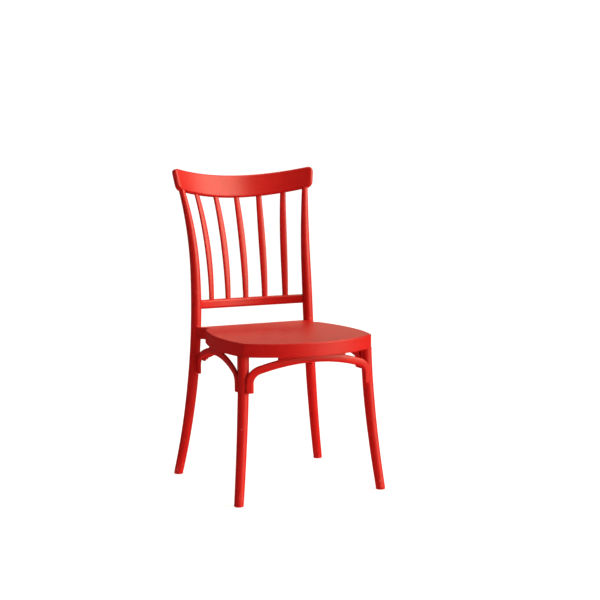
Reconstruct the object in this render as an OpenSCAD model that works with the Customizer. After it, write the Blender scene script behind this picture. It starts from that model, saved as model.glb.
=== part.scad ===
// Spindle-back stacking chair in moulded plastic.
// X runs to the right seen from the front, Y to the back, Z up from the floor, in millimetres.
// Depths are measured from the front edge of the seat and turned into Y by at_depth().

/* [Seat] */
// Height of the seat's rim above the floor
seat_h = 440.5; // [425:0.5:465]
// Greatest width of the seat
seat_w = 423; // [410:1:436]
// Depth of the seat, front edge to rear edge
seat_d = 441; // [433:1:447]
// Distance of the widest place behind the front edge
seat_widest_d = 194; // [180:1:210]
// Radius of the curved sides, front half
seat_side_r = 467; // [445:1:520]
// Radius of the sides behind the widest place
seat_rear_side_r = 590; // [560:1:640]
// Radius of the bowed front
seat_front_r = 300; // [270:1:360]
// Radius of the front corners, seen from above
seat_corner_r = 22; // [19:0.5:30]
// Depth of the apron below the rim
apron_h = 38; // [37:0.5:44]
// Wall of the apron
apron_t = 4; // [3:0.5:5]
// Rounding of the rim
rim_r = 5; // [3:0.5:7]
// Hollow of the seat at its middle
dish = 4; // [1:0.5:6]
// Least thickness of the top skin, under the hollow
skin_t = 4; // [3:0.5:6]
// Thickness of the ribs under the seat
rib_t = 3; // [2:0.5:5]
// Height of the ribs under the seat
rib_h = 15; // [8:1:20]
// Spacing of the ribs
rib_pitch = 92; // [80:1:105]
// Distance behind the front edge where the rounded sides end
side_end_d = 377.5; // [372:0.5:380]
// Distance behind the front edge of the notch in front of the rear corners
neck_d = 391; // [388:0.5:394]
// Half width between the two notches
neck_x = 164; // [160:0.5:168]
// Half width over the rear corners of the seat
rear_corner_x = 184.5; // [182:0.5:187]
// Rise of the underside at the rear corners
rear_rise = 4; // [1:0.5:8]

/* [Legs and posts] */
// Radius of a leg where it is thickest
leg_r = 15.2; // [14:0.1:16]
// Radius of a leg at the foot
foot_r = 13.2; // [11.5:0.1:14]
// Height at which a leg reaches its full radius
leg_taper_h = 264; // [180:1:290]
// Half distance between the front legs under the seat
front_leg_x = 186.5; // [184:0.5:188]
// Distance of the front legs behind the front edge, under the seat
front_leg_d = 87.5; // [86:0.5:90]
// How far a front foot splays sideways
front_foot_out = 30.5; // [15:0.5:45]
// How far a front foot steps forward
front_foot_fwd = 28.5; // [12:0.5:40]
// Sabre curve of the front legs: 1 is straight, more bends nearer the foot
front_leg_curve = 1.6; // [1.3:0.05:2.2]
// Half distance between the rear posts at their waist
waist_x = 178.6; // [176:0.2:181]
// Height of the waist above the seat
waist_rise = 158.5; // [120:1:190]
// Distance of the rear posts behind the front edge, at the seat
post_d = 453.1; // [452:0.1:455]
// How far a rear foot splays sideways
rear_foot_out = 51.4; // [40:0.2:60]
// How far a rear foot steps back
rear_foot_back = 37.9; // [25:0.2:50]
// Sideways curve of the rear legs
post_splay_curve = 2.15; // [1.9:0.05:2.4]
// Fore and aft curve of the rear legs
post_kick_curve = 1.9; // [1.6:0.05:2.2]
// How far the posts open sideways between waist and crest
crest_out = 19.6; // [12:0.2:26]
// How far the posts rake back between seat and crest
rake = 53.5; // [35:0.5:70]
// Backward curve of the posts: more bends nearer the crest
rake_curve = 2.27; // [1.8:0.01:2.6]
// Radius of a post where it meets the crest
post_tip_r = 8.9; // [8:0.1:9.3]
// Height above the seat where the posts start to taper
post_taper_rise = 16; // [0:1:120]

/* [Back] */
// Height of the crest's lower edge above the seat, at the posts
crest_rise = 393; // [350:1:430]
// How far the crest's lower edge dips at its middle
crest_dip = 25.4; // [5:0.2:35]
// Height of the crest across its face, at its middle
crest_h = 66.8; // [56:0.2:80]
// How much lower the crest is at its ends
crest_fall = 3; // [0:0.5:6]
// Thickness of the crest
crest_t = 19; // [18.5:0.5:24]
// Half width over the crest's ends
crest_half_w = 217; // [214:1:226]
// Lean of the crest from upright, in degrees
crest_lean = 14; // [12:0.5:17]
// Corner radius of the crest seen from the front
crest_corner_r = 15; // [6:0.5:20]
// Rounding of the crest's long edges
crest_edge_r = 5; // [2:0.5:7]
// Bow of the crest and rail in plan, over a half width of 200
back_bow = 65.5; // [40:0.5:75]
// Height of the rail's ends above the seat
rail_rise = 63.5; // [50:0.5:90]
// How far the rail dips at its middle
rail_dip = 6; // [0:0.5:10]
// Height of the rail's section at its ends
rail_h = 25.8; // [20:0.2:34]
// How much taller the rail is at its middle
rail_swell = 1.5; // [0:0.5:4]
// Thickness of the rail
rail_t = 18; // [16:0.5:20]
// Rounding of the rail's edges
rail_edge_r = 4; // [2:0.5:6]
// How far the rail enters a post
rail_tenon = 8.5; // [5:0.5:10]
// Number of spindles
spindle_n = 5; // [5]
// Spacing of the spindles on the rail
spindle_pitch = 59.7; // [54:0.1:62]
// Spacing of the spindles under the crest
spindle_top_pitch = 69.9; // [60:0.1:72]
// Fan of the spindles: 1 is straight, more opens nearer the crest
spindle_fan = 2.45; // [1:0.05:3]
// Width of a spindle at its middle
spindle_w = 21.4; // [18:0.2:24]
// Width of a spindle at its ends
spindle_end_w = 17.4; // [15:0.2:20]
// Depth of a spindle at its middle
spindle_t = 9.4; // [8:0.2:13]
// Depth of a spindle at its ends
spindle_end_t = 9; // [8:0.2:12]
// Backward curve of the spindles: more bends nearer the crest
spindle_curve = 1.75; // [1.4:0.05:2.2]
// Depth of a spindle's mortise in the rail
spindle_foot = 9; // [6:0.5:14]
// Depth of a spindle's mortise in the crest
spindle_head = 12; // [8:0.5:16]

/* [Arches] */
// Width of the front arch's bar in the plane of the arch
arch_w = 22.2; // [20:0.2:26]
// Thickness of the front arch's bar
arch_t = 12; // [11:0.5:15]
// Width of the side and rear arches' bars in the plane of the arch
side_arch_w = 20; // [18:0.2:22]
// Thickness of the side and rear arches' bars
side_arch_t = 10; // [9:0.5:12]
// Depth of the arches' ends below the rim
arch_drop = 136; // [128:1:146]
// Depth of the rear arch's ends below the rim
rear_arch_drop = 100; // [96:0.5:104]
// Gap between the front arch's bar and the apron, at the top of the arch
front_arch_gap = 0.2; // [0.2:0.1:3]
// Gap between the other arches' bars and the apron, at the top of the arch
side_arch_gap = 2.8; // [0.2:0.1:5]
// Radius of the bend at the ends of the front and side arches
arch_bend_r = 38; // [32:1:44]
// Radius of the bend at the ends of the rear arch
rear_bend_r = 30; // [26:1:36]
// Radius of the long curve of the front arch
front_arch_r = 487; // [440:1:540]
// Radius of the long curve of the side arches
side_arch_r = 365; // [330:1:420]
// Radius of the long curve of the rear arch
rear_arch_r = 345; // [320:1:420]
// Forward bow of the front arch
front_arch_bow = 25; // [18:0.5:32]
// Outward bow of the side arches
side_arch_bow = 1; // [0:0.5:6]
// Inward bow of the rear arch
rear_arch_bow = 17; // [14:0.5:20]
// Half length of the web between the front arch and the apron
front_web = 101; // [60:1:110]
// Half length of the webs between the other arches and the apron
side_web = 60; // [45:1:80]

/* [Hardware] */
// Radius of the bolts
bolt_r = 3; // [2.5:0.1:3.2]
// Length of the bolts under the head
bolt_l = 36; // [34:1:38]
// Radius of the bolt heads
bolt_head_r = 5; // [4.5:0.1:5.4]
// Height of the bolt heads
bolt_head_h = 4; // [3:0.5:5]
// Outer radius of the threaded inserts
insert_r = 4.3; // [4:0.1:4.8]
// Length of the threaded inserts
insert_l = 12; // [9:0.5:13]
// Radius of the screws
screw_r = 2; // [1.5:0.1:2.2]
// Length of the arch screws
screw_l = 36; // [34:1:38]
// Length of the short screws in rail and crest
back_screw_l = 13; // [11:0.5:13.5]
// Radius of the screw heads
screw_head_r = 3.4; // [3:0.1:3.6]
// Height of the screw heads
screw_head_h = 2.6; // [2:0.1:3]
// Height of a glide under the foot
glide_h = 5; // [3:0.5:8]
// Radius of a glide's stem
glide_stem_r = 5; // [4:0.2:6]
// Length of a glide's stem
glide_stem_l = 14; // [8:0.5:20]

/* [Fits] */
// Gap all round a part that sits in a socket or saddle
fit = 0.15; // [0.1:0.05:0.25]
// Gap between a straight saddle and the curved leg in it
saddle_fit = 0.45; // [0.4:0.05:0.6]

/* [Hidden] */

red = [0.82, 0.10, 0.07];
zinc = [0.72, 0.74, 0.76];
brass = [0.78, 0.62, 0.30];

// Powers of the rounded ovals of a bar and a spindle: 2 is an ellipse, more is squarer
bar_power = 3;
spindle_power = 2.2;
// Facets of a leg, a spindle, a bar and a bored hole
leg_sides = 20;
spindle_sides = 14;
bar_sides = 14;
hole_fn = 40;
// A hair by which cutters overshoot and added bodies sink in, so that no faces coincide
eps = 0.5;

apron_z = seat_h - apron_h;
ceiling_z = seat_h - dish - skin_t;
crest_z = seat_h + crest_rise;
waist_z = seat_h + waist_rise;
rail_z = seat_h + rail_rise;
arch_end_z = seat_h - arch_drop;
rear_arch_end_z = seat_h - rear_arch_drop;
front_arch_z = apron_z - front_arch_gap - arch_w / 2;
side_arch_z = apron_z - side_arch_gap - side_arch_w / 2;

// The crest's rearmost point sets the overall depth, and the middle of that depth is Y = 0
crest_mid_d = post_d + rake + bow(waist_x + crest_out);
crest_back_d = crest_mid_d + (crest_h - crest_edge_r) * sin(crest_lean)
    + (crest_t / 2 - crest_edge_r) * cos(crest_lean) + crest_edge_r;
function at_depth(d) = d - crest_back_d / 2;

function unit(v) = v / norm(v);
function bow(x) = back_bow * pow(x / 200, 2);
function bow_angle(x) = atan(2 * back_bow * x / pow(200, 2));
function mix(a, b, t) = a + (b - a) * t;

// Centre lines. Every piece that meets a leg or a post takes its place from these.
function leg_radius(z) = mix(foot_r, leg_r, min(1, z / leg_taper_h));
function front_fade(z) = pow(max(0, 1 - z / apron_z), front_leg_curve);
function front_leg_at(z) = [front_leg_x + front_foot_out * front_fade(z),
    at_depth(front_leg_d) - front_foot_fwd * front_fade(z), z];
function post_x(z) = waist_x + (z < waist_z
    ? rear_foot_out * pow(1 - z / waist_z, post_splay_curve)
    : crest_out * pow((z - waist_z) / (crest_z - waist_z), 2));
function post_y(z) = at_depth(post_d) + (z < seat_h
    ? rear_foot_back * pow(1 - z / seat_h, post_kick_curve)
    : rake * pow((z - seat_h) / (crest_z - seat_h), rake_curve));
function post_at(z) = [post_x(z), post_y(z), z];
post_taper_z = seat_h + post_taper_rise;
function post_radius(z) = z < post_taper_z ? leg_radius(z)
    : leg_r - (leg_r - post_tip_r) * pow((z - post_taper_z) / (crest_z - post_taper_z), 2);
function post_dir(z) = unit(post_at(z + 1) - post_at(z - 1));

// The back's curved surface: the rail and the crest dip along it
function crest_y(x) = post_y(crest_z) + bow(post_x(crest_z)) - bow(x);
function crest_low_z(x) = crest_z - crest_dip * (1 - pow(x / post_x(crest_z), 2));
function crest_height(x) = crest_h - crest_fall * pow(x / crest_half_w, 2);
function rail_y(x) = post_y(rail_z) + bow(post_x(rail_z)) - bow(x);
function rail_share(x) = 1 - pow(x / post_x(rail_z), 2);
function rail_mid_z(x) = rail_z - rail_dip * rail_share(x);
function rail_height(x) = rail_h + rail_swell * rail_share(x);

// Sections, as points that turn counter-clockwise
function disc(r, n) = [for (i = [0:n - 1]) r * [cos(360 * i / n), sin(360 * i / n)]];
function bulge(c, e) = sign(c) * pow(abs(c), 2 / e);
function oval(a, b, e, n) = [for (i = [0:n - 1])
    [a * bulge(cos(360 * (i + 0.5) / n), e), b * bulge(sin(360 * (i + 0.5) / n), e)]];
function rounded(w, h, r, steps = 3) = [for (q = [0:3], k = [0:steps])
    let (sx = [1, -1, -1, 1][q], sy = [1, 1, -1, -1][q], a = 90 * q + 90 * k / steps)
    [sx * (w / 2 - r) + r * cos(a), sy * (h / 2 - r) + r * sin(a)]];

// A ring of section points round centre c, square to direction t, with ref giving the first axis
function side_axis(t, ref) = unit(ref - t * (ref * t));
function ring(c, t, ref, pts) = let (u = side_axis(t, ref), v = cross(t, u))
    [for (p = pts) c + u * p.x + v * p.y];

// Closed solid through a list of rings
module loft(rings) {
    n = len(rings[0]);
    m = len(rings);
    polyhedron(
        points = [for (r = rings) each r],
        faces = concat(
            [[for (i = [0:n - 1]) i]],
            [[for (i = [n - 1:-1:0]) (m - 1) * n + i]],
            [for (j = [0:m - 2], i = [0:n - 1])
                let (k = (i + 1) % n)
                each [[j * n + i, (j + 1) * n + i, (j + 1) * n + k],
                    [j * n + i, (j + 1) * n + k, j * n + k]]]));
}

// Puts a body that stands along Z at point p, pointing along t with its X axis towards ref
module along(p, t, ref = [1, 0, 0]) {
    u = side_axis(t, ref);
    v = cross(t, u);
    multmatrix([[u.x, v.x, t.x, p.x], [u.y, v.y, t.y, p.y], [u.z, v.z, t.z, p.z], [0, 0, 0, 1]])
        children();
}

module rod(p, q, r) {
    along(p, unit(q - p)) cylinder(r = r, h = norm(q - p), $fn = hole_fn);
}

// Mirrored twin on the left for side -1
module on_side(side) {
    if (side < 0) mirror([1, 0, 0]) children();
    else children();
}

// Seat outline: bowed front, round corner, side in two radii, notch and flared rear corner

front_c = [0, at_depth(seat_front_r)];
side_c = [seat_w / 2 - seat_side_r, at_depth(seat_widest_d)];
rear_side_c = [seat_w / 2 - seat_rear_side_r, at_depth(seat_widest_d)];
// The corner circle touches the front and the side circle from inside
corner_gap = norm(front_c - side_c);
corner_along = (pow(seat_side_r - seat_corner_r, 2) - pow(seat_front_r - seat_corner_r, 2)
    + pow(corner_gap, 2)) / (2 * corner_gap);
corner_across = sqrt(pow(seat_side_r - seat_corner_r, 2) - pow(corner_along, 2));
corner_dir = unit(front_c - side_c);
corner_c = side_c + corner_dir * corner_along + [corner_dir.y, -corner_dir.x] * corner_across;

function angle_of(v) = atan2(v.y, v.x);
function arc(c, r, a0, a1, n, first = 0) = [for (i = [first:n])
    let (a = mix(a0, a1, i / n)) c + r * [cos(a), sin(a)]];
neck_y = at_depth(neck_d);
rear_y = at_depth(seat_d);
// Rounding where the side ends, and the direction it faces where the notch begins
neck_round = 8;
neck_turn = 57;
side_end_a = asin((side_end_d - seat_widest_d) / seat_rear_side_r);
neck_c = rear_side_c + (seat_rear_side_r - neck_round) * [cos(side_end_a), sin(side_end_a)];
// The rear corner flares out from the notch, and its rounding begins where its flank faces ear_turn
ear_out = 6.5;
ear_back = 23.5;
ear_turn = -35;
ear = [neck_x + ear_out, neck_y + ear_back];
rear_round = 6;
half_outline = concat(
    arc(front_c, seat_front_r, -90, angle_of(corner_c - front_c), 6),
    arc(corner_c, seat_corner_r, angle_of(corner_c - front_c), angle_of(corner_c - side_c), 4, 1),
    arc(side_c, seat_side_r, angle_of(corner_c - side_c), 0, 4, 1),
    arc(rear_side_c, seat_rear_side_r, 0, side_end_a, 4, 1),
    arc(neck_c, neck_round, side_end_a, neck_turn, 3, 1),
    [[neck_x, neck_y], ear],
    arc([rear_corner_x - rear_round, rear_y - rear_round], rear_round, ear_turn, 90, 4),
    [[rear_corner_x / 2, rear_y], [0, rear_y]]);
half_n = len(half_outline);
outline = concat(half_outline,
    [for (i = [half_n - 2:-1:1]) [-half_outline[i].x, half_outline[i].y]]);

function inset(pts, d) = let (n = len(pts)) [for (i = [0:n - 1])
    let (t = unit(pts[(i + 1) % n] - pts[(i + n - 1) % n])) pts[i] + d * [-t.y, t.x]];
function raised(pts, z) = [for (p = pts) [p.x, p.y, z]];
seat_mid = [0, mix(at_depth(0), rear_y, 0.5)];
function shrunk(pts, s) = [for (p = pts) seat_mid + (p - seat_mid) * s];

// The rim rolls over in a quarter circle, then the top falls gently to the hollow's middle.
// The last ring sinks a hair lower, under the plate that makes the middle flat.
function rim_rings() = [for (a = [0, 30, 60, 90])
    raised(inset(outline, rim_r * (1 - cos(a))), seat_h - rim_r * (1 - sin(a)))];
dish_shares = [0.86, 0.7, 0.52, 0.36];
dish_sink = 0.15;
flat_share = 0.5;
function dish_rings() = [for (i = [0:3])
    raised(shrunk(outline, dish_shares[i]), seat_h - (i == 3 ? dish_sink : 0)
        - dish * sin(90 * (1 - dish_shares[i]) / (1 - dish_shares[3])))];

module seat_prism(inset_by, z0, z1) {
    translate([0, 0, z0])
        linear_extrude(z1 - z0) polygon(inset(outline, inset_by));
}

// Arches: the bar's middle line is a long arc, a tight bend and a straight tail.
// Ends are [end, other end, bow], a bar is [width, thickness], radii are [long, bend]

function arch_turn_s(half, radii) = (half - radii[1]) / (1 - radii[1] / radii[0]);
function arch_half(half, radii, top_z, end_z) =
    let (s1 = arch_turn_s(half, radii), a1 = asin(s1 / radii[0]), c = [0, top_z - radii[0]],
        k = [s1, c.y + radii[0] * cos(a1)] - radii[1] * [sin(a1), cos(a1)],
        a2 = k.y < end_z ? acos((end_z - k.y) / radii[1]) : 90)
    concat(
        [for (i = [0:5]) let (a = a1 * i / 5)
            [c.x + radii[0] * sin(a), c.y + radii[0] * cos(a), a]],
        [for (i = [1:5]) let (a = mix(a1, a2, i / 5))
            [k.x + radii[1] * sin(a), k.y + radii[1] * cos(a), a]],
        k.y > end_z ? [[half, end_z, 90]] : []);
// Rows of [distance along the chord, height, angle of the section]
function arch_rows(half, radii, top_z, end_z) =
    let (h = arch_half(half, radii, top_z, end_z), n = len(h))
    concat([for (i = [n - 1:-1:1]) [-h[i][0], h[i][1], -h[i][2]]], h);
function arch_side(ends) = let (e = unit(ends[1] - ends[0])) [e.y, -e.x];
// Middle line in plan, bowed sideways
function arch_plan(ends, s) = let (half = norm(ends[1] - ends[0]) / 2)
    mix(ends[0], ends[1], (s / half + 1) / 2) + arch_side(ends) * ends[2] * (1 - pow(s / half, 2));
function arch_ring(ends, bar, row) =
    let (half = norm(ends[1] - ends[0]) / 2,
        flow = unit(unit(ends[1] - ends[0]) - arch_side(ends) * 2 * ends[2] * row[0] / pow(half, 2)),
        mid = arch_plan(ends, row[0]),
        out = [flow.x * sin(row[2]), flow.y * sin(row[2]), cos(row[2])],
        side = [flow.y, -flow.x, 0])
    [for (p = oval(bar[0] / 2, bar[1] / 2, bar_power, bar_sides))
        [mid.x, mid.y, row[1]] + out * p.x + side * p.y];

module arch_bar(ends, bar, radii, top_z, end_z) {
    half = norm(ends[1] - ends[0]) / 2;
    loft([for (row = arch_rows(half, radii, top_z, end_z)) arch_ring(ends, bar, row)]);
}

// Web that stands on the bar's crown and reaches up to the apron
web_sink = 5;
web_steps = 6;
module arch_web(ends, bar, top_z, reach) {
    translate([0, 0, top_z - web_sink]) linear_extrude(apron_z - top_z + web_sink)
        polygon([for (side = [-1, 1], i = [-web_steps:web_steps])
            arch_plan(ends, -side * reach * i / web_steps) + arch_side(ends) * side * (bar[1] / 2 - 1)]);
}

// Ends of each arch in plan: from left to right, or from front to back, and the bow
front_leg_join = front_leg_at(arch_end_z);
post_join = post_at(arch_end_z);
rear_arch_join = post_at(rear_arch_end_z);
// Offsets of the arch ends from the leg they are let into
front_arch_off = [-11.3, -17.9];
side_front_off = [9, 21.5];
side_rear_off = [-8.8, -22.2];
rear_arch_off = [-18.5, -6];
function flat(v) = [v.x, v.y];
function flip(v) = [-v.x, v.y];
front_arch_end = flat(front_leg_join) + front_arch_off;
side_arch_front = flat(front_leg_join) + side_front_off;
side_arch_rear = flat(post_join) + side_rear_off;
rear_arch_end = flat(rear_arch_join) + rear_arch_off;
front_arch_ends = [flip(front_arch_end), front_arch_end, front_arch_bow];
side_arch_ends = [side_arch_front, side_arch_rear, side_arch_bow];
rear_arch_ends = [flip(rear_arch_end), rear_arch_end, rear_arch_bow];
front_bar = [arch_w, arch_t];
side_bar = [side_arch_w, side_arch_t];
front_radii = [front_arch_r, arch_bend_r];
side_radii = [side_arch_r, arch_bend_r];
rear_radii = [rear_arch_r, rear_bend_r];

// Screws through the arches. Each is [head's seat, direction of the shank].
screw_rise = 12;
side_screw_rise = 26;
rear_screw_rise = 5;
function lifted(v, z) = [v.x, v.y, z];
// Where a screw crosses the leg: a little off its middle, towards the bar
function leg_cross(leg, off) = leg + [off.x / 3, 0];
// From the leg's far side, through the leg and into the bar
function screw_through_leg(leg, off, z) = let (p = leg_cross(leg, off), d = unit(leg + off - p))
    [lifted(p - d * (leg_r - screw_head_h), z), lifted(d, 0)];
// From the bar's far side, through the bar and into the leg
function screw_through_bar(from, aim, z) = [lifted(from, z), lifted(unit(aim - from), 0)];
function apex_screw(ends, bar, top_z, s) =
    [lifted(arch_plan(ends, s), top_z - bar[0] / 2 + screw_head_h), [0, 0, 1]];
front_apex_s = 45;
side_apex_s = 32;

front_screw_z = arch_end_z + screw_rise;
front_arch_screws = [
    screw_through_leg(flat(front_leg_at(front_screw_z)), front_arch_off, front_screw_z),
    apex_screw(front_arch_ends, front_bar, front_arch_z, front_apex_s)];
side_screw_z = arch_end_z + side_screw_rise;
side_arch_screws = [
    screw_through_bar(side_arch_front + [0, side_arch_w / 2 - screw_head_h],
        leg_cross(flat(front_leg_at(side_screw_z)), side_front_off), side_screw_z),
    screw_through_leg(flat(post_at(side_screw_z)), side_rear_off, side_screw_z),
    apex_screw(side_arch_ends, side_bar, side_arch_z, -side_apex_s),
    apex_screw(side_arch_ends, side_bar, side_arch_z, side_apex_s)];
rear_screw_z = rear_arch_end_z + rear_screw_rise;
rear_screw_in = 18;
rear_arch_screws = [
    screw_through_bar(arch_plan(rear_arch_ends, rear_arch_end.x - rear_screw_in),
        flat(post_at(rear_screw_z)), rear_screw_z),
    apex_screw(rear_arch_ends, side_bar, side_arch_z, front_apex_s)];
arch_screw_list = concat(front_arch_screws, side_arch_screws, rear_arch_screws);

// Short screws: one crosses the rail in each post, one holds the crest on each post
rail_screw_dx = 9;
rail_screw_p = [post_x(rail_z) - rail_screw_dx,
    post_y(rail_z) + sqrt(pow(post_radius(rail_z), 2) - pow(rail_screw_dx, 2)) - screw_head_h, rail_z];
crest_screw_up = 14;
function crest_out_dir(x) = [sin(bow_angle(x)), cos(bow_angle(x)), 0];
function crest_up_dir(x) = crest_out_dir(x) * sin(crest_lean) + [0, 0, cos(crest_lean)];
function crest_back_dir(x) = crest_out_dir(x) * cos(crest_lean) - [0, 0, sin(crest_lean)];
function crest_point(x, a, h) = [x, crest_y(x), crest_low_z(x)]
    + crest_back_dir(x) * a + crest_up_dir(x) * h;
crest_screw_x = post_x(crest_z) + post_dir(crest_z).x * crest_screw_up;
crest_screw_p = crest_point(crest_screw_x, crest_t / 2 - screw_head_h, crest_screw_up);
back_screw_list = [[rail_screw_p, [0, -1, 0]],
    [crest_screw_p, -crest_back_dir(crest_screw_x)]];

module screw(s, length) {
    along(s[0], s[1]) {
        translate([0, 0, -screw_head_h]) cylinder(r = screw_head_r, h = screw_head_h, $fn = hole_fn);
        cylinder(r = screw_r, h = length, $fn = hole_fn);
    }
}

// Room for a screw: its head's recess, open to the outside, and a close hole for the shank
module screw_hole(s, length) {
    along(s[0], s[1]) {
        translate([0, 0, -5 * screw_head_h])
            cylinder(r = screw_head_r + fit, h = 5 * screw_head_h, $fn = hole_fn);
        translate([0, 0, -eps]) cylinder(r = screw_r + fit, h = length + eps + 1, $fn = hole_fn);
    }
}

// Bolts: two through each front block into the leg, two through each rear corner into the post
block_w = 25;
block_l = 27;
block_drop = 61;
block_draft = 4;
block_round = 5;
// How far the block starts inside the leg's middle, and how far it reaches round the leg
block_in = 20.5;
block_lap = 7;
block_x = front_leg_x - block_in;
block_y = at_depth(front_leg_d) + leg_r - block_lap;
// The bolts' places: inside the leg's middle, below the apron's edge, above the rear corner's underside
front_bolt_in = 4;
front_bolt_drops = [48, 20];
rear_bolt_rises = [8, 20];
front_bolt_x = front_leg_x - front_bolt_in;
front_bolt_seat_y = block_y + block_l - bolt_head_h - eps;
front_bolt_z = [for (drop = front_bolt_drops) apron_z - drop];
rear_boss_l = 26;
rear_boss_x = 140;
rear_bolt_z = [for (rise = rear_bolt_rises) apron_z + rear_rise + rise];
// The rear bolts run aslant, from inside the neck to the middle of the post
rear_bolt_turn = 40;
rear_bolt_dir = [sin(rear_bolt_turn), cos(rear_bolt_turn), 0];
insert_back = 1;
insert_fit = 0.05;
bolt_list = concat(
    [for (z = front_bolt_z) [[front_bolt_x, front_bolt_seat_y, z], [0, -1, 0]]],
    [for (z = rear_bolt_z) [post_at(z) - rear_bolt_dir * (bolt_l + insert_back), rear_bolt_dir]]);

module bolt(b) {
    along(b[0], b[1]) {
        translate([0, 0, -bolt_head_h]) cylinder(r = bolt_head_r, h = bolt_head_h, $fn = hole_fn);
        cylinder(r = bolt_r, h = bolt_l, $fn = hole_fn);
    }
}

module bolt_hole(b) {
    along(b[0], b[1]) {
        translate([0, 0, -5 * bolt_head_h])
            cylinder(r = bolt_head_r + 2 * fit, h = 5 * bolt_head_h, $fn = hole_fn);
        translate([0, 0, -eps]) cylinder(r = bolt_r + fit, h = bolt_l + eps + 1, $fn = hole_fn);
    }
}

module insert_body(b, r_out, r_in) {
    along(b[0] + b[1] * (bolt_l - insert_l - insert_back), b[1])
        difference() {
            cylinder(r = r_out, h = insert_l, $fn = hole_fn);
            translate([0, 0, -eps]) cylinder(r = r_in, h = insert_l + 2 * eps, $fn = hole_fn);
        }
}

// Room for the insert, open towards the bolt's head
module insert_hole(b) {
    along(b[0] + b[1] * (bolt_l - insert_l - insert_back), b[1])
        translate([0, 0, -insert_l]) cylinder(r = insert_r + insert_fit, h = 2 * insert_l, $fn = hole_fn);
}

// Front leg: a sabre-curved taper with a turned tenon that plugs into the seat's corner
tenon_r = 9.5;
tenon_l = 24;

module front_leg(side) {
    zs = [for (i = [0:14]) mix(glide_h, apron_z, i / 14)];
    top = front_leg_at(apron_z);
    color(red) on_side(side) difference() {
        union() {
            loft([for (z = zs) raised([for (p = disc(leg_radius(z), leg_sides))
                p + flat(front_leg_at(z))], z)]);
            translate([top.x, top.y, apron_z - eps])
                cylinder(r = tenon_r, h = tenon_l + eps, $fn = hole_fn);
        }
        translate(front_leg_at(glide_h) - [0, 0, eps])
            cylinder(r = glide_stem_r + fit, h = glide_stem_l + 1 + eps, $fn = hole_fn);
        for (b = [bolt_list[0], bolt_list[1]]) {
            bolt_hole(b);
            insert_hole(b);
        }
        screw_hole(front_arch_screws[0], screw_l);
        screw_hole(side_arch_screws[0], screw_l);
    }
}

// Rear post: leg, waist and raked back in one sweep, with a tenon for the crest
post_shoulder = 4;
post_tenon_r = 5.5;
post_tenon_l = 19;

module rear_post(side) {
    zs = [for (i = [0:26]) mix(glide_h, crest_z, i / 26)];
    tip = post_at(crest_z);
    dir = post_dir(crest_z);
    shoulder = tip + dir * post_shoulder;
    rail_end = [post_x(rail_z), post_y(rail_z), rail_z];
    rail_dir = unit([-cos(bow_angle(rail_end.x)), sin(bow_angle(rail_end.x)), 0]);
    color(red) on_side(side) difference() {
        union() {
            loft(concat(
                [raised([for (p = disc(leg_radius(glide_h), leg_sides))
                    p + flat(post_at(glide_h))], glide_h)],
                [for (i = [1:26]) ring(post_at(zs[i]), post_dir(zs[i]), [1, 0, 0],
                    disc(post_radius(zs[i]), leg_sides))],
                [ring(shoulder, dir, [1, 0, 0], disc(post_tip_r, leg_sides))]));
            along(shoulder - dir * eps, dir)
                cylinder(r = post_tenon_r, h = post_tenon_l + eps, $fn = hole_fn);
        }
        translate(post_at(glide_h) - [0, 0, eps])
            cylinder(r = glide_stem_r + fit, h = glide_stem_l + 1 + eps, $fn = hole_fn);
        along(rail_end + rail_dir * (post_radius(rail_z) - rail_tenon - eps), rail_dir, [0, 0, 1])
            linear_extrude(rail_tenon + 3 * eps)
                polygon(rounded(rail_h + 2 * fit, rail_t + 2 * fit, rail_edge_r + fit));
        for (b = [bolt_list[2], bolt_list[3]]) {
            bolt_hole(b);
            insert_hole(b);
        }
        screw_hole(side_arch_screws[1], screw_l);
        screw_hole(rear_arch_screws[0], screw_l);
        screw_hole(back_screw_list[0], back_screw_l);
        screw_hole(back_screw_list[1], back_screw_l);
    }
}

// Crest: a bowed board that leans back, dips at its middle and rounds off at its ends
crest_steps = 26;
// Share of the edge's rounding by which the crest thins towards its ends
crest_thin = 0.35;
// Length of a post's own socket below the crest's edge
crest_lead = 12;

function crest_ring(x) =
    let (from_end = (crest_half_w - abs(x)) / cos(bow_angle(x)),
        e = min(from_end, crest_corner_r),
        cut = crest_corner_r - sqrt(pow(crest_corner_r, 2) - pow(crest_corner_r - e, 2)),
        thin = crest_thin * crest_edge_r * pow(1 - e / crest_corner_r, 2),
        high = crest_height(x),
        pts = rounded(high - 2 * cut, crest_t - 2 * thin, crest_edge_r - thin))
    [for (p = pts) crest_point(x, -p.y, p.x + high / 2)];
crest_end_xs = [for (a = [0, 25, 50, 75]) crest_half_w - crest_corner_r * (1 - cos(a))];
crest_inner_x = crest_half_w - crest_corner_r - 4;
crest_xs = concat(
    [for (x = crest_end_xs) -x],
    [for (i = [0:crest_steps]) mix(-crest_inner_x, crest_inner_x, i / crest_steps)],
    [for (i = [len(crest_end_xs) - 1:-1:0]) crest_end_xs[i]]);

module crest_rail() {
    color(red) difference() {
        loft([for (x = crest_xs) crest_ring(x)]);
        for (i = [1:spindle_n])
            spindle_mortise(i, 1);
        for (side = [-1, 1]) on_side(side) {
            tip = post_at(crest_z);
            dir = post_dir(crest_z);
            along(tip - dir * crest_lead, dir)
                cylinder(r = post_tip_r + fit, h = crest_lead + post_shoulder + fit, $fn = hole_fn);
            along(tip, dir) cylinder(r = post_tenon_r + fit,
                h = post_shoulder + post_tenon_l + 1, $fn = hole_fn);
            screw_hole(back_screw_list[1], back_screw_l);
        }
    }
}

// Lower rail of the back, let into both posts
rail_steps = 16;

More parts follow.
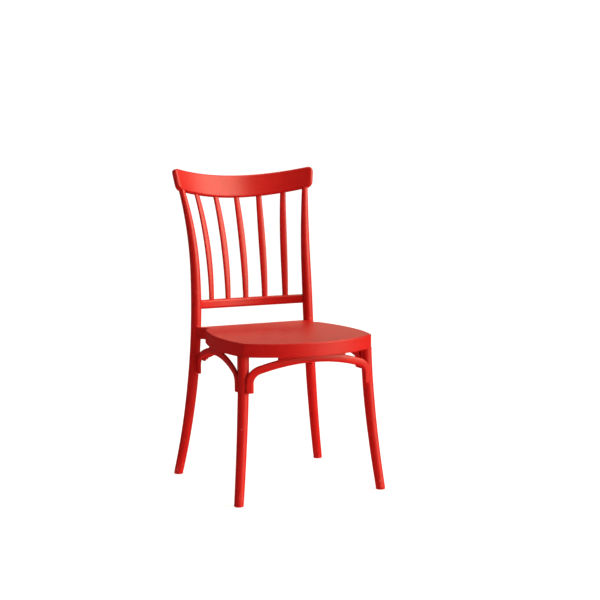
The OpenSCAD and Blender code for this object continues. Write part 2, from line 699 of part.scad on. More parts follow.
module back_rail() {
    post = post_at(rail_z);
    // The end stops where the rail has entered the post by rail_tenon
    end_x = post.x - (post_radius(rail_z) - rail_tenon) * cos(bow_angle(post.x));
    color(red) difference() {
        loft([for (i = [0:rail_steps])
            let (x = mix(-end_x, end_x, i / rail_steps))
            ring([x, rail_y(x), rail_mid_z(x)], [cos(bow_angle(x)), -sin(bow_angle(x)), 0], [0, 0, 1],
                rounded(rail_height(x), rail_t, rail_edge_r))]);
        for (i = [1:spindle_n])
            spindle_mortise(i, 0);
        for (side = [-1, 1]) on_side(side)
            screw_hole(back_screw_list[0], back_screw_l);
    }
}

// Spindles: flattened ovals that swell at the middle and fan out towards the crest
spindle_steps = 9;
// How far a mortise's cutter starts outside its mouth
mortise_lead = 8;

function spindle_index(i) = i - (spindle_n + 1) / 2;
function spindle_foot_at(i) = let (x = spindle_index(i) * spindle_pitch)
    [x, rail_y(x), rail_mid_z(x) + rail_height(x) / 2];
function spindle_head_at(i) = let (x = spindle_index(i) * spindle_top_pitch)
    [x, crest_y(x), crest_low_z(x)];
function spindle_at(i, t) = let (p = spindle_foot_at(i), q = spindle_head_at(i))
    [mix(p.x, q.x, pow(t, spindle_fan)), mix(p.y, q.y, pow(t, spindle_curve)), mix(p.z, q.z, t)];
function spindle_dir(i, t) = unit(spindle_at(i, min(1, t + 0.02)) - spindle_at(i, max(0, t - 0.02)));
function spindle_ref(i, t) = let (x = spindle_at(i, t).x) [cos(bow_angle(x)), -sin(bow_angle(x)), 0];
function spindle_swell(t) = sin(180 * t);
function spindle_pts(t, grow = 0) = oval(
    mix(spindle_end_w, spindle_w, spindle_swell(t)) / 2 + grow,
    mix(spindle_end_t, spindle_t, spindle_swell(t)) / 2 + grow, spindle_power, spindle_sides);

module spindle_mortise(i, t) {
    p = spindle_at(i, t);
    dir = spindle_dir(i, t) * (t > 0.5 ? 1 : -1);
    deep = (t > 0.5 ? spindle_head : spindle_foot) + fit;
    ref = spindle_ref(i, t);
    along(p - dir * mortise_lead, dir, ref)
        linear_extrude(deep + mortise_lead) polygon(spindle_pts(t, fit));
}

module spindle(i) {
    ends = [spindle_at(i, 0) - spindle_dir(i, 0) * spindle_foot,
        spindle_at(i, 1) + spindle_dir(i, 1) * spindle_head];
    color(red) loft(concat(
        [ring(ends[0], spindle_dir(i, 0), spindle_ref(i, 0), spindle_pts(0))],
        [for (k = [0:spindle_steps]) let (t = k / spindle_steps)
            ring(spindle_at(i, t), spindle_dir(i, t), spindle_ref(i, t), spindle_pts(t))],
        [ring(ends[1], spindle_dir(i, 1), spindle_ref(i, 1), spindle_pts(1))]));
}

// Straight saddles that the legs leave in the bars let into them, cut from a little below the bar
saddle_over = 10;
module leg_saddle(z0, z1) {
    rod(front_leg_at(z0), front_leg_at(z1), leg_r + saddle_fit);
}

module post_saddle(z0, z1, gap) {
    rod(post_at(z0), post_at(z1), leg_r + gap);
}

module front_arch() {
    color(red) difference() {
        union() {
            arch_bar(front_arch_ends, front_bar, front_radii, front_arch_z, arch_end_z);
            arch_web(front_arch_ends, front_bar, front_arch_z, front_web);
        }
        for (side = [-1, 1]) on_side(side) {
            leg_saddle(arch_end_z - saddle_over, apron_z);
            for (s = front_arch_screws) screw_hole(s, screw_l);
        }
    }
}

module side_arch(side) {
    color(red) on_side(side) difference() {
        union() {
            arch_bar(side_arch_ends, side_bar, side_radii, side_arch_z, arch_end_z);
            arch_web(side_arch_ends, side_bar, side_arch_z, side_web);
        }
        leg_saddle(arch_end_z - saddle_over, apron_z);
        post_saddle(arch_end_z - saddle_over, apron_z, saddle_fit);
        for (s = side_arch_screws) screw_hole(s, screw_l);
    }
}

module rear_arch() {
    color(red) difference() {
        union() {
            arch_bar(rear_arch_ends, side_bar, rear_radii, side_arch_z, rear_arch_end_z);
            arch_web(rear_arch_ends, side_bar, side_arch_z, side_web);
        }
        for (side = [-1, 1]) on_side(side) {
            post_saddle(rear_arch_end_z - saddle_over, apron_z, saddle_fit);
            for (s = rear_arch_screws) screw_hole(s, screw_l);
        }
    }
}

// Glide: a round pad with a stem that plugs into the foot
module glide(p) {
    pad_r = foot_r;
    lip = 2;
    color(red) translate([p.x, p.y, 0]) rotate_extrude($fn = 2 * hole_fn) polygon(concat(
        [[0, 0]],
        [for (a = [-90:15:0]) [pad_r - lip + lip * cos(a), lip + lip * sin(a)]],
        [[pad_r, glide_h], [glide_stem_r, glide_h], [glide_stem_r, glide_h + glide_stem_l - 1],
            [glide_stem_r - 1, glide_h + glide_stem_l], [0, glide_h + glide_stem_l]]));
}

// Seat: a moulded shell with ribs, leg sockets, blocks for the front bolts and solid rear corners
socket_wall = 4.2;
level_cut = 2;
boss_r = 7.5;

module seat_ribs() {
    intersection() {
        seat_prism(apron_t - eps, ceiling_z - rib_h, ceiling_z + eps);
        union() {
            for (i = [-1:1]) {
                translate([i * rib_pitch - rib_t / 2, at_depth(0), 0])
                    cube([rib_t, seat_d, seat_h]);
                translate([-seat_w / 2, seat_mid.y + i * rib_pitch - rib_t / 2, 0])
                    cube([seat_w, rib_t, seat_h]);
            }
        }
    }
}

// Tapered block behind each front leg, with a round lower corner, extruded fore and aft
module front_block() {
    r = block_round;
    low = apron_z - block_drop;
    inner = block_x + block_draft;
    translate([0, block_y + block_l, 0]) rotate([90, 0, 0])
        linear_extrude(block_l) polygon(concat(
            [[block_x, ceiling_z + eps]],
            [for (a = [180:22.5:270]) [inner + r + r * cos(a), low + r + r * sin(a)]],
            [[block_x + block_w, low], [block_x + block_w, ceiling_z + eps]]));
}

module rear_boss() {
    intersection() {
        seat_prism(eps, apron_z + rear_rise, ceiling_z + eps);
        translate([rear_boss_x, rear_y - rear_boss_l, 0])
            cube([seat_w / 2 - rear_boss_x, rear_boss_l + 10, seat_h]);
    }
}

apex_boss_places = [for (s = [[front_arch_ends, front_apex_s], [side_arch_ends, -side_apex_s],
    [side_arch_ends, side_apex_s], [rear_arch_ends, front_apex_s]])
    arch_plan(s[0], s[1])];

// Round bosses for the arch screws, cut off where they would stand out of the apron
module apex_bosses() {
    intersection() {
        seat_prism(eps, apron_z, ceiling_z + eps);
        for (side = [-1, 1], p = apex_boss_places)
            translate([side * p.x, p.y, apron_z])
                cylinder(r = boss_r, h = seat_h - apron_z, $fn = hole_fn);
    }
}

// The outer form: made a little deeper, then cut level at the apron's lower edge. A plate
// in the hollow gives it one flat middle.
module seat_body() {
    difference() {
        union() {
            loft(concat([raised(outline, apron_z - level_cut)], rim_rings(), dish_rings()));
            translate([0, 0, ceiling_z + eps])
                linear_extrude(skin_t - eps) polygon(shrunk(outline, flat_share));
        }
        translate([-seat_w, at_depth(-seat_d), apron_z - level_cut - 1])
            cube([2 * seat_w, 3 * seat_d, level_cut + 1]);
    }
}

module seat() {
    top = front_leg_at(apron_z);
    color(red) difference() {
        union() {
            difference() {
                seat_body();
                seat_prism(apron_t, apron_z - 1, ceiling_z);
                translate([-seat_w, neck_y + 2, apron_z - 1])
                    cube([2 * seat_w, seat_d, rear_rise + 1]);
            }
            seat_ribs();
            for (side = [-1, 1]) on_side(side) {
                intersection() {
                    seat_prism(eps, apron_z, ceiling_z + eps);
                    translate([top.x, top.y, apron_z])
                        cylinder(r = tenon_r + socket_wall, h = seat_h - apron_z, $fn = hole_fn);
                }
                front_block();
                rear_boss();
            }
            apex_bosses();
        }
        for (side = [-1, 1]) on_side(side) {
            translate([top.x, top.y, apron_z - 1])
                cylinder(r = tenon_r + fit, h = tenon_l + 2, $fn = hole_fn);
            // The front block hugs the leg, the rear corner hugs the post
            rod(front_leg_at(apron_z - block_drop - 5), front_leg_at(apron_z), leg_r + saddle_fit);
            post_saddle(apron_z - 5, seat_h + 5, fit);
            for (b = bolt_list) bolt_hole(b);
            for (s = [front_arch_screws[1], side_arch_screws[2], side_arch_screws[3],
                rear_arch_screws[1]]) screw_hole(s, screw_l);
        }
    }
}

module leg_bolts() {
    color(zinc) for (side = [-1, 1]) on_side(side)
        for (b = bolt_list) bolt(b);
}

module leg_inserts() {
    color(brass) for (side = [-1, 1]) on_side(side)
        for (b = bolt_list) insert_body(b, insert_r, bolt_r + insert_fit);
}

module arch_screws() {
    color(zinc) for (side = [-1, 1]) on_side(side)
        for (s = arch_screw_list) screw(s, screw_l);
}

module back_screws() {
    color(zinc) for (side = [-1, 1]) on_side(side)
        for (s = back_screw_list) screw(s, back_screw_l);
}

seat();
front_leg(-1);  // front_leg_left
front_leg(1);  // front_leg_right
rear_post(-1);  // rear_post_left
rear_post(1);  // rear_post_right
crest_rail();
back_rail();
spindle(1);  // spindle_1
spindle(2);  // spindle_2
spindle(3);  // spindle_3
spindle(4);  // spindle_4
spindle(5);  // spindle_5
front_arch();
side_arch(-1);  // side_arch_left
side_arch(1);  // side_arch_right
rear_arch();
glide(flip(front_leg_at(glide_h)));  // glide_front_left
glide(front_leg_at(glide_h));  // glide_front_right
glide(flip(post_at(glide_h)));  // glide_rear_left
glide(post_at(glide_h));  // glide_rear_right
leg_bolts();
leg_inserts();
arch_screws();
back_screws();
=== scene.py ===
import bpy
import numpy as np
from mathutils import Matrix


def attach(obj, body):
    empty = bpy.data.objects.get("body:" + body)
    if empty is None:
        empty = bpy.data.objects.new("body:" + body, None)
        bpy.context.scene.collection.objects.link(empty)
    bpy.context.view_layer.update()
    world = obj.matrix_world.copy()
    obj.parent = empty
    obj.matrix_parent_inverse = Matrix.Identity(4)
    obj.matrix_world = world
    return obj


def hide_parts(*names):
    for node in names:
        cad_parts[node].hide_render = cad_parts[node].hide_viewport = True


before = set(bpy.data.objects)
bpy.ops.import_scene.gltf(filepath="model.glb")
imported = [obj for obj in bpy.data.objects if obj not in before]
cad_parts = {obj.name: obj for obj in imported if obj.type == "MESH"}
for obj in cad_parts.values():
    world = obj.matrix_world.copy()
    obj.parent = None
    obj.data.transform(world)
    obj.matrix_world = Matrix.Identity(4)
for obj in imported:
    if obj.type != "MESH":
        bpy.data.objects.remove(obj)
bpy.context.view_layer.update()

print("frame loaded:", len(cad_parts), "nodes")


# Small sums

def unit(v):  # v over its own length
    return v / np.linalg.norm(v, axis=-1, keepdims=True)


def mix(a, b, t):  # straight blend: a at t = 0, b at t = 1
    return a + (b - a) * t


def ease(x, low, high):  # 0 below low, 1 above high, and 3t² - 2t³ between
    t = np.clip((x - low) / (high - low), 0, 1)
    return t * t * (3 - 2 * t)


def points(x, y, z):  # three coordinates joined, each a number or an array
    return np.stack(np.broadcast_arrays(x, y, z), axis=-1).astype(float)


def direction(azimuth, elevation):  # (sin a cos e, -cos a cos e, sin e): azimuth 0 is straight in front
    a, e = np.radians([azimuth, elevation])
    return np.array([np.sin(a) * np.cos(e), -np.cos(a) * np.cos(e), np.sin(e)])


# Surfaces. Each is a grid of points: rows along the piece, columns once round it.

def shell(grid):  # quads between the rows, and a fan to the middle of the first and last row
    rows, cols = grid.shape[:2]
    verts = np.concatenate([grid.reshape(-1, 3), grid[0].mean(0)[None], grid[-1].mean(0)[None]])
    r, c = np.arange(rows - 1)[:, None] * cols, np.arange(cols)[None]
    d = (c + 1) % cols
    quads = np.stack([r + c, r + d, r + cols + d, r + cols + c], axis=-1).reshape(-1, 4)
    c, d = c[0], d[0]
    low = np.stack([np.full(cols, rows * cols), d, c], axis=-1)
    last = (rows - 1) * cols
    high = np.stack([np.full(cols, rows * cols + 1), last + c, last + d], axis=-1)
    a, b, e = verts[quads[:, 0]], verts[quads[:, 1]], verts[quads[:, 2]]
    volume = (a * np.cross(b, e)).sum() + (a * np.cross(e, verts[quads[:, 3]])).sum()
    volume += sum((verts[f[:, 0]] * np.cross(verts[f[:, 1]], verts[f[:, 2]])).sum() for f in (low, high))
    if volume < 0:  # inside out
        quads, low, high = quads[:, ::-1], low[:, ::-1], high[:, ::-1]
    return verts, quads.tolist() + low.tolist() + high.tolist()


def carry(path, along, first, section):  # path + a * first + b * second, square to the direction of travel
    along = unit(np.broadcast_to(along, path.shape))
    first = np.broadcast_to(first, path.shape)
    first = unit(first - along * (first * along).sum(-1, keepdims=True))
    second = np.cross(along, first)
    return path[:, None] + section[..., :1] * first[:, None] + section[..., 1:] * second[:, None]


def allRound(cols):  # angles of a full turn
    return np.linspace(0, 2 * np.pi, cols, endpoint=False)


def circle(cols):  # (cos a, sin a)
    a = allRound(cols)
    return np.stack([np.cos(a), np.sin(a)], axis=-1)


def spokes(axis, cols):  # unit vectors square to an axis, cos a * first + sin a * second
    first = unit(np.cross(axis, [0.31, 0.77, -0.55]))
    return circle(cols) @ np.stack([first, np.cross(axis, first)])


def turned(base, axis, profile, cols=48):  # (radius, height) carried round an axis that starts at base
    axis = unit(np.asarray(axis, float))
    profile = np.asarray(profile, float)
    return base + profile[:, :1, None] * spokes(axis, cols) + profile[:, 1:, None] * axis


def oval(a, b, power, cols):  # |x / a|^power + |y / b|^power = 1
    t = 2 * np.pi * (np.arange(cols) + 0.5) / cols
    c, s = np.cos(t), np.sin(t)
    x = np.sign(c) * np.abs(c) ** (2 / power)
    y = np.sign(s) * np.abs(s) ** (2 / power)
    a, b = (np.reshape(v, (-1, 1)) for v in (a, b))
    return np.stack(np.broadcast_arrays(a * x, b * y), axis=-1)


def softBox(w, h, r, steps=7):  # rectangle w by h with quarter circles of radius r at its corners
    w, h, r = np.broadcast_arrays(*(np.reshape(v, (-1, 1)).astype(float) for v in (w, h, r)))
    corners = []
    for q, (sx, sy) in enumerate(((1, 1), (-1, 1), (-1, -1), (1, -1))):
        a = np.radians(90 * q + np.linspace(0, 90, steps))[None]
        x, y = sx * (w / 2 - r) + r * np.cos(a), sy * (h / 2 - r) + r * np.sin(a)
        corners.append(np.stack([x, y], axis=-1))
    return withFlats(corners)


def withFlats(corners):  # a closed section from its four corners, with points on the flats between them
    parts = []
    for q in range(4):
        start, end = corners[q][:, -1:], corners[(q + 1) % 4][:, :1]
        parts += [corners[q]] + [mix(start, end, f) for f in (0.05, 0.35, 0.65, 0.95)]
    return np.concatenate(parts, axis=1)


def roundOff(t, r):  # how far an edge of radius r has drawn in at a distance t from the end
    return r - np.sqrt(np.maximum(0, r * r - (r - np.minimum(t, r)) ** 2))


def endRows(length, r, middle, tips=7):  # stations along a piece, closer together over the rounded ends
    tip = r * (1 - np.cos(np.linspace(0, np.pi / 2, tips)))
    return np.concatenate([tip, np.linspace(r, length - r, middle)[1:-1], length - tip[::-1]])


# Curves in plan

def arc(centre, radius, start, end, count):  # centre + radius * (cos a, sin a), a in degrees
    a = np.radians(np.linspace(start, end, count))
    return np.asarray(centre) + radius * np.stack([np.cos(a), np.sin(a)], axis=-1)


def bearing(v):  # the angle of a direction in plan
    return np.degrees(np.arctan2(v[1], v[0]))


def filleted(before, corner, after, radius, count=10):  # the arc that touches both lines at a corner
    before, corner, after = (np.asarray(p, float) for p in (before, corner, after))
    u, v = unit(before - corner), unit(after - corner)
    half = np.arccos(np.clip(u @ v, -1, 1)) / 2
    centre = corner + unit(u + v) * radius / np.sin(half)
    ends = [corner + d * radius / np.tan(half) - centre for d in (u, v)]
    a, b = (bearing(p) for p in ends)
    return arc(centre, radius, a, a + (b - a + 180) % 360 - 180, count)


def evenly(line, count):  # the same line with its points the same distance apart
    run = np.concatenate([[0], np.cumsum(np.linalg.norm(np.diff(line, axis=0), axis=1))])
    at = np.linspace(0, run[-1], count)
    return np.stack([np.interp(at, run, line[:, k]) for k in (0, 1)], axis=-1)


def outwards(loop):  # unit normals of a closed loop that runs counter-clockwise
    t = unit(np.roll(loop, -1, axis=0) - np.roll(loop, 1, axis=0))
    return np.stack([t[:, 1], -t[:, 0]], axis=-1)


# Shader maths written as expressions on sockets

class Wire:
    def __init__(self, tree, socket=None):
        self.tree = tree
        self.socket = socket

    def node(self, kind, settings=None, sockets=None, out=0):  # settings first, then values or links
        made = self.tree.nodes.new("ShaderNode" + kind)
        for key, value in (settings or {}).items():
            setattr(made, key, value)
        for key, value in (sockets or {}).items():
            if isinstance(value, Wire):
                self.tree.links.new(value.socket, made.inputs[key])
            else:
                made.inputs[key].default_value = value
        return Wire(self.tree, made.outputs[out])

    def maths(self, operation, *values):  # values follow the wire itself
        return self.node("Math", {"operation": operation}, dict(enumerate((self, *values))))

    def __add__(self, other):
        return self.maths("ADD", other)

    __radd__ = __add__

    def __sub__(self, other):
        return self.maths("SUBTRACT", other)

    def __rsub__(self, other):
        return self.node("Math", {"operation": "SUBTRACT"}, {0: other, 1: self})

    def __mul__(self, other):
        return self.maths("MULTIPLY", other)

    __rmul__ = __mul__

    def between(self, low, high):  # 0 below low, 1 above high
        return self.node("MapRange", {"interpolation_type": "SMOOTHSTEP"},
                         {"Value": self, "From Min": low, "From Max": high})

    def tint(self, low, high):  # colour low where the wire is 0, high where it is 1
        return self.node("Mix", {"data_type": "RGBA"}, {0: self, 6: low, 7: high}, out=2)


def material(name, colour, metallic=0.0, specular=0.5):  # a bare material, its maths and its shader
    made = bpy.data.materials.new(name)
    made.use_nodes = True
    made.diffuse_color = (*colour[:3], 1)
    shader = made.node_tree.nodes["Principled BSDF"]
    shader.inputs["Metallic"].default_value = metallic
    shader.inputs["Specular IOR Level"].default_value = specular
    return made, Wire(made.node_tree), shader


def plug(maths, shader, **wires):  # joins wires to the shader's sockets
    for name, wire in wires.items():
        maths.tree.links.new(wire.socket, shader.inputs[name.replace("_", " ")])


plasticLook = {
    "red": (0.630, 0.0100, 0.0078, 1), "deep": (0.570, 0.0078, 0.0066, 1),
    "cloud": 14.0, "mottle": 90.0, "grain": 1500.0, "pits": 900.0, "ripple": 42.0,
    "grainDepth": 0.00006, "rippleDepth": 0.0006, "rippleStrength": 0.10,
    "roughSwing": 0.10, "grainSwing": 0.08,
    # the paler colour below serves the wear at the feet and the painted glints on the pin spots; the share
    # after it says how far a painted glint goes toward it
    "scuffAndGlint": (0.68, 0.090, 0.070, 1), "scuffTo": 0.05, "scuffShare": 0.5, "scuffRough": 0.2,
    "pinDepth": 3.0, "glintShare": 0.8,
}


def pinGlintSpot(place, centre, width, height):
    # 1 on a small oval that is painted paler as a glint and raised a little as a pin mark, 0 outside:
    # how far a point lies from the centre, measured in widths across and in heights along z
    off = place.node("VectorMath", {"operation": "SUBTRACT"}, {0: place, 1: [float(c) for c in centre]})
    scaled = off.node("VectorMath", {"operation": "DIVIDE"}, {0: off, 1: (width, width, height)})
    far = scaled.node("VectorMath", {"operation": "LENGTH"}, {0: scaled}, out=1)
    return 1 - far.between(0.7, 1.0)


def mouldedPlastic(name, grain, rough, glintPins=()):
    # Colour and gloss drift slowly over the surface, as pigment and flow do in a moulding. A fine
    # grain from the tool gives the satin, faint ripples follow the flow, and the feet are scuffed.
    # Small pin spots get a painted highlight: their colour is mixed paler as a glint, and they are raised a
    # little.
    look = plasticLook
    made, maths, shader = material(name, look["red"], specular=0.50)
    place = maths.node("TexCoord", out=3)

    def noise(scale, **sockets):
        return maths.node("TexNoise", None, {"Vector": place, "Scale": look[scale], **sockets})

    cloud = noise("cloud", Detail=3.0)
    mottle = noise("mottle", Detail=2.0)
    fine = noise("grain", Detail=2.0, Roughness=0.6)
    ripple = noise("ripple", Detail=1.0, Distortion=0.8)
    pits = maths.node("TexVoronoi", {"feature": "SMOOTH_F1"}, {"Vector": place, "Scale": look["pits"]})
    height = maths.node("SeparateXYZ", None, {0: place}, out=2)
    low = 1 - height.between(0.004, look["scuffTo"])
    rubbed = low * mottle.between(0.52, 0.66) * look["scuffShare"]
    # painted highlight: each pin spot is mixed toward the paler colour as a glint, and raised by the bump
    pinGlint = sum((pinGlintSpot(place, *pin) for pin in glintPins), low * 0.0)
    drift = cloud * 0.65 + mottle * 0.35
    body = drift.between(0.32, 0.68).tint(look["deep"], look["red"])
    paler = (rubbed + pinGlint * look["glintShare"]).maths("MINIMUM", 1.0)
    colour = maths.node("Mix", {"data_type": "RGBA"}, {0: paler, 6: body, 7: look["scuffAndGlint"]}, out=2)
    gloss = (rough + (drift - 0.5) * look["roughSwing"] + (fine - 0.5) * look["grainSwing"]
             + rubbed * look["scuffRough"])
    tool = fine * 0.6 + pits * 0.4 + pinGlint * look["pinDepth"]
    grained = maths.node("Bump", None, {"Strength": grain, "Distance": look["grainDepth"], "Height": tool})
    flowed = maths.node("Bump", None, {"Strength": look["rippleStrength"], "Distance": look["rippleDepth"],
                                       "Height": ripple, "Normal": grained})
    plug(maths, shader, Base_Color=colour, Roughness=gloss, Normal=flowed)
    return made


platingLook = {"patch": 260.0, "marks": 2400.0, "depth": 0.00005, "patchSwing": 0.25, "markSwing": 0.1}


def plated(name, bright, dull, rough, grain):
    # Plated metal: patches of duller plating, and fine turning marks
    made, maths, shader = material(name, bright, metallic=1.0)
    look = platingLook
    place = maths.node("TexCoord", out=3)
    patch = maths.node("TexNoise", None, {"Vector": place, "Scale": look["patch"], "Detail": 4.0})
    marks = maths.node("TexNoise", None, {"Vector": place, "Scale": look["marks"], "Detail": 1.0})
    colour = patch.between(0.35, 0.7).tint(bright, dull)
    gloss = rough + (patch - 0.5) * look["patchSwing"] + (marks - 0.5) * look["markSwing"]
    bumped = maths.node("Bump", None, {"Strength": grain, "Distance": look["depth"], "Height": marks})
    plug(maths, shader, Base_Color=colour, Roughness=gloss, Normal=bumped)
    return made


def joined(name, shells):  # one object from several closed shells
    verts, faces, count = [], [], 0
    for shellVerts, shellFaces in shells:
        verts.append(shellVerts)
        faces += [[i + count for i in face] for face in shellFaces]
        count += len(shellVerts)
    mesh = bpy.data.meshes.new(name)
    mesh.from_pydata(np.concatenate(verts).tolist(), [], faces)
    mesh.update()
    holder = bpy.data.objects.new(name, mesh)
    bpy.context.scene.collection.objects.link(holder)
    return holder


def cutOut(piece, cutters):  # the piece less its cutters, as a new mesh
    cutter = joined("cutter", cutters)
    tool = piece.modifiers.new("recess", "BOOLEAN")
    tool.operation = "DIFFERENCE"
    tool.solver = "EXACT"
    tool.object = cutter
    bpy.context.view_layer.update()
    solved = piece.evaluated_get(bpy.context.evaluated_depsgraph_get())
    result = bpy.data.meshes.new_from_object(solved)
    piece.modifiers.clear()
    piece.data = result
    bpy.data.objects.remove(cutter)


def add(name, shells, finish, node, cutters=(), crease=34):
    # Joins closed shells into one piece, cuts its recesses and puts it on the body
    piece = joined(name, shells)
    if cutters:
        cutOut(piece, cutters)
    piece.data.shade_smooth()
    piece.data.set_sharp_from_angle(angle=np.radians(crease))
    piece.data.materials.clear()
    piece.data.materials.append(finish)
    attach(piece, "root")
    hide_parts(node)


def addFrame(name, shells, node, cutters=()):
    add(name, shells, framePlastic, node, cutters)


def addSeat(name, shells, cutters=()):
    add(name, shells, seatPlastic, "seat", cutters)


sides = {"right": np.array([1.0, 1.0, 1.0]), "left": np.array([-1.0, 1.0, 1.0])}
upright = np.array([0.0, 0.0, 1.0])


# The shared lines of the chair: every piece that meets a leg or a post takes its place from these

seat = {
    "height": 0.4405, "width": 0.423, "depth": 0.441, "widest": 0.194, "sideR": 0.467, "rearSideR": 0.590,
    "frontR": 0.300, "cornerR": 0.022, "apron": 0.038, "wall": 0.004, "rimR": 0.003, "dish": 0.004,
    "dishRun": 0.64, "skin": 0.004, "edge": 0.0012, "ceilingR": 0.003, "sideEnd": 0.3775,
    "neckDepth": 0.391, "neckX": 0.164, "neckR": 0.008, "neckTurn": 57, "notchR": 0.004,
    "earOut": 0.0065, "earBack": 0.0235, "earR": 0.02, "earTurn": -35,
    "rearCornerX": 0.1845, "rearR": 0.006, "rearRise": 0.004, "riseRun": 0.003,
}
leg = {"radius": 0.0152, "footRadius": 0.0132, "fullAt": 0.264, "edge": 0.0008, "cols": 56}
frontLeg = {"x": 0.1865, "depth": 0.0875, "out": 0.0305, "forward": 0.0285, "curve": 1.6}
post = {
    "waistX": 0.1786, "waistRise": 0.1585, "depth": 0.4531, "footOut": 0.0514, "footBack": 0.0379,
    "splay": 2.15, "kick": 1.9, "crestOut": 0.0196, "rake": 0.0535, "rakeCurve": 2.27, "tip": 0.0089,
    "taperRise": 0.016, "shoulder": 0.004, "levelRun": 0.02,
}
crest = {
    "rise": 0.393, "dip": 0.0254, "height": 0.0668, "fall": 0.003, "thick": 0.019, "halfWidth": 0.217,
    "lean": 14, "cornerR": 0.016, "edgeR": 0.005, "endThin": 0.0035, "bow": 0.0655, "bowReach": 0.2,
    "rows": 160, "tips": 22,
}
rail = {
    "rise": 0.0635, "dip": 0.006, "height": 0.0258, "swell": 0.0015, "thick": 0.018, "edgeR": 0.0065,
    "lap": 0.0085, "rows": 90,
}
glide = {"height": 0.005, "lip": 0.002, "stemR": 0.005, "stemH": 0.014, "cupR": 0.005, "cup": 0.0004}

apronZ = seat["height"] - seat["apron"]
ceilingZ = seat["height"] - seat["dish"] - seat["skin"]
crestZ = seat["height"] + crest["rise"]
waistZ = seat["height"] + post["waistRise"]
railZ = seat["height"] + rail["rise"]
taperZ = seat["height"] + post["taperRise"]
glideH = glide["height"]
lean = np.radians(crest["lean"])


def bow(x):  # how far the back's curve has come forward at x: bow * (x / reach)²
    return crest["bow"] * (x / crest["bowReach"]) ** 2


def bowAngle(x):  # the turn of that curve, from its slope
    return np.arctan(2 * crest["bow"] * x / crest["bowReach"] ** 2)


crestBackDepth = (post["depth"] + post["rake"] + bow(post["waistX"] + post["crestOut"])
                  + (crest["height"] - crest["edgeR"]) * np.sin(lean)
                  + (crest["thick"] / 2 - crest["edgeR"]) * np.cos(lean) + crest["edgeR"])


def atDepth(d):  # distance behind the seat's front edge, as y
    return d - crestBackDepth / 2


def legRadius(z):  # grows in a straight taper from the foot
    return mix(leg["footRadius"], leg["radius"], np.minimum(1, z / leg["fullAt"]))


def frontLegAt(z):  # out and forward by (1 - z / apron)^curve
    fade = np.maximum(0, 1 - z / apronZ) ** frontLeg["curve"]
    y = atDepth(frontLeg["depth"]) - frontLeg["forward"] * fade
    return points(frontLeg["x"] + frontLeg["out"] * fade, y, z)


def postX(z):  # waist + splay below it, waist + opening above it
    below = post["footOut"] * np.maximum(0, 1 - z / waistZ) ** post["splay"]
    above = post["crestOut"] * (np.maximum(0, z - waistZ) / (crestZ - waistZ)) ** 2
    return post["waistX"] + below + above


def postY(z):  # kicks back below the seat and rakes back above it
    below = post["footBack"] * np.maximum(0, 1 - z / seat["height"]) ** post["kick"]
    share = np.maximum(0, z - seat["height"]) / (crestZ - seat["height"])
    return atDepth(post["depth"]) + below + post["rake"] * share ** post["rakeCurve"]


def postAt(z):
    return points(postX(z), postY(z), z)


def postDirection(z):
    return unit(postAt(z + 0.001) - postAt(z - 0.001))


def postRadius(z):  # as the leg, then a taper that grows with the square of the height
    share = np.maximum(0, z - taperZ) / (crestZ - taperZ)
    return np.where(z < taperZ, legRadius(z), leg["radius"] - (leg["radius"] - post["tip"]) * share ** 2)


crestPostX = float(postX(crestZ))
railPostX = float(postX(railZ))


def crestY(x):
    return float(postY(crestZ)) + bow(crestPostX) - bow(x)


def crestLowZ(x):
    return crestZ - crest["dip"] * (1 - (x / crestPostX) ** 2)


def crestHeight(x):
    return crest["height"] - crest["fall"] * (x / crest["halfWidth"]) ** 2


def railY(x):
    return float(postY(railZ)) + bow(railPostX) - bow(x)


def railMidZ(x):
    return railZ - rail["dip"] * (1 - (x / railPostX) ** 2)


def railHeight(x):
    return rail["height"] + rail["swell"] * (1 - (x / railPostX) ** 2)


def crestAxes(x):  # the crest's up and back directions at x, leaned from upright
    a = bowAngle(x)
    out = points(np.sin(a), np.cos(a), 0 * a)
    return out * np.sin(lean) + upright * np.cos(lean), out * np.cos(lean) - upright * np.sin(lean)


# Arches: where their ends sit, and the long arc, tight bend and straight tail of each

arches = {
    "front": {"width": 0.0222, "thick": 0.012, "longR": 0.487, "bendR": 0.038, "gap": 0.0002,
              "drop": 0.136, "bow": 0.025, "web": 0.101},
    "side": {"width": 0.020, "thick": 0.010, "longR": 0.365, "bendR": 0.038, "gap": 0.0028,
             "drop": 0.136, "bow": 0.001, "web": 0.060},
    "rear": {"width": 0.020, "thick": 0.010, "longR": 0.345, "bendR": 0.030, "gap": 0.0028,
             "drop": 0.100, "bow": 0.017, "web": 0.060},
}
archOffsets = {  # from the middle of a leg to the end of an arch, in plan
    "front": np.array([-0.0113, -0.0179]), "sideFront": np.array([0.009, 0.0215]),
    "sideRear": np.array([-0.0088, -0.0222]), "rear": np.array([-0.0185, -0.006]),
}
archEnds = {"round": 0.002, "tips": 7, "oval": 3}
webShape = {  # heights over the bar's crown, and how much thinner than the bar it is there and on top
    "levels": np.array([-0.006, -0.0012, 0.0008, 0.0024, 0.0040]),
    "thinner": np.array([0.0006, 0.0, 0.0006, 0.0012, 0.0014, 0.0014]), "edge": 0.001, "round": 0.0015,
}


def flat(p):
    return np.asarray(p)[..., :2]


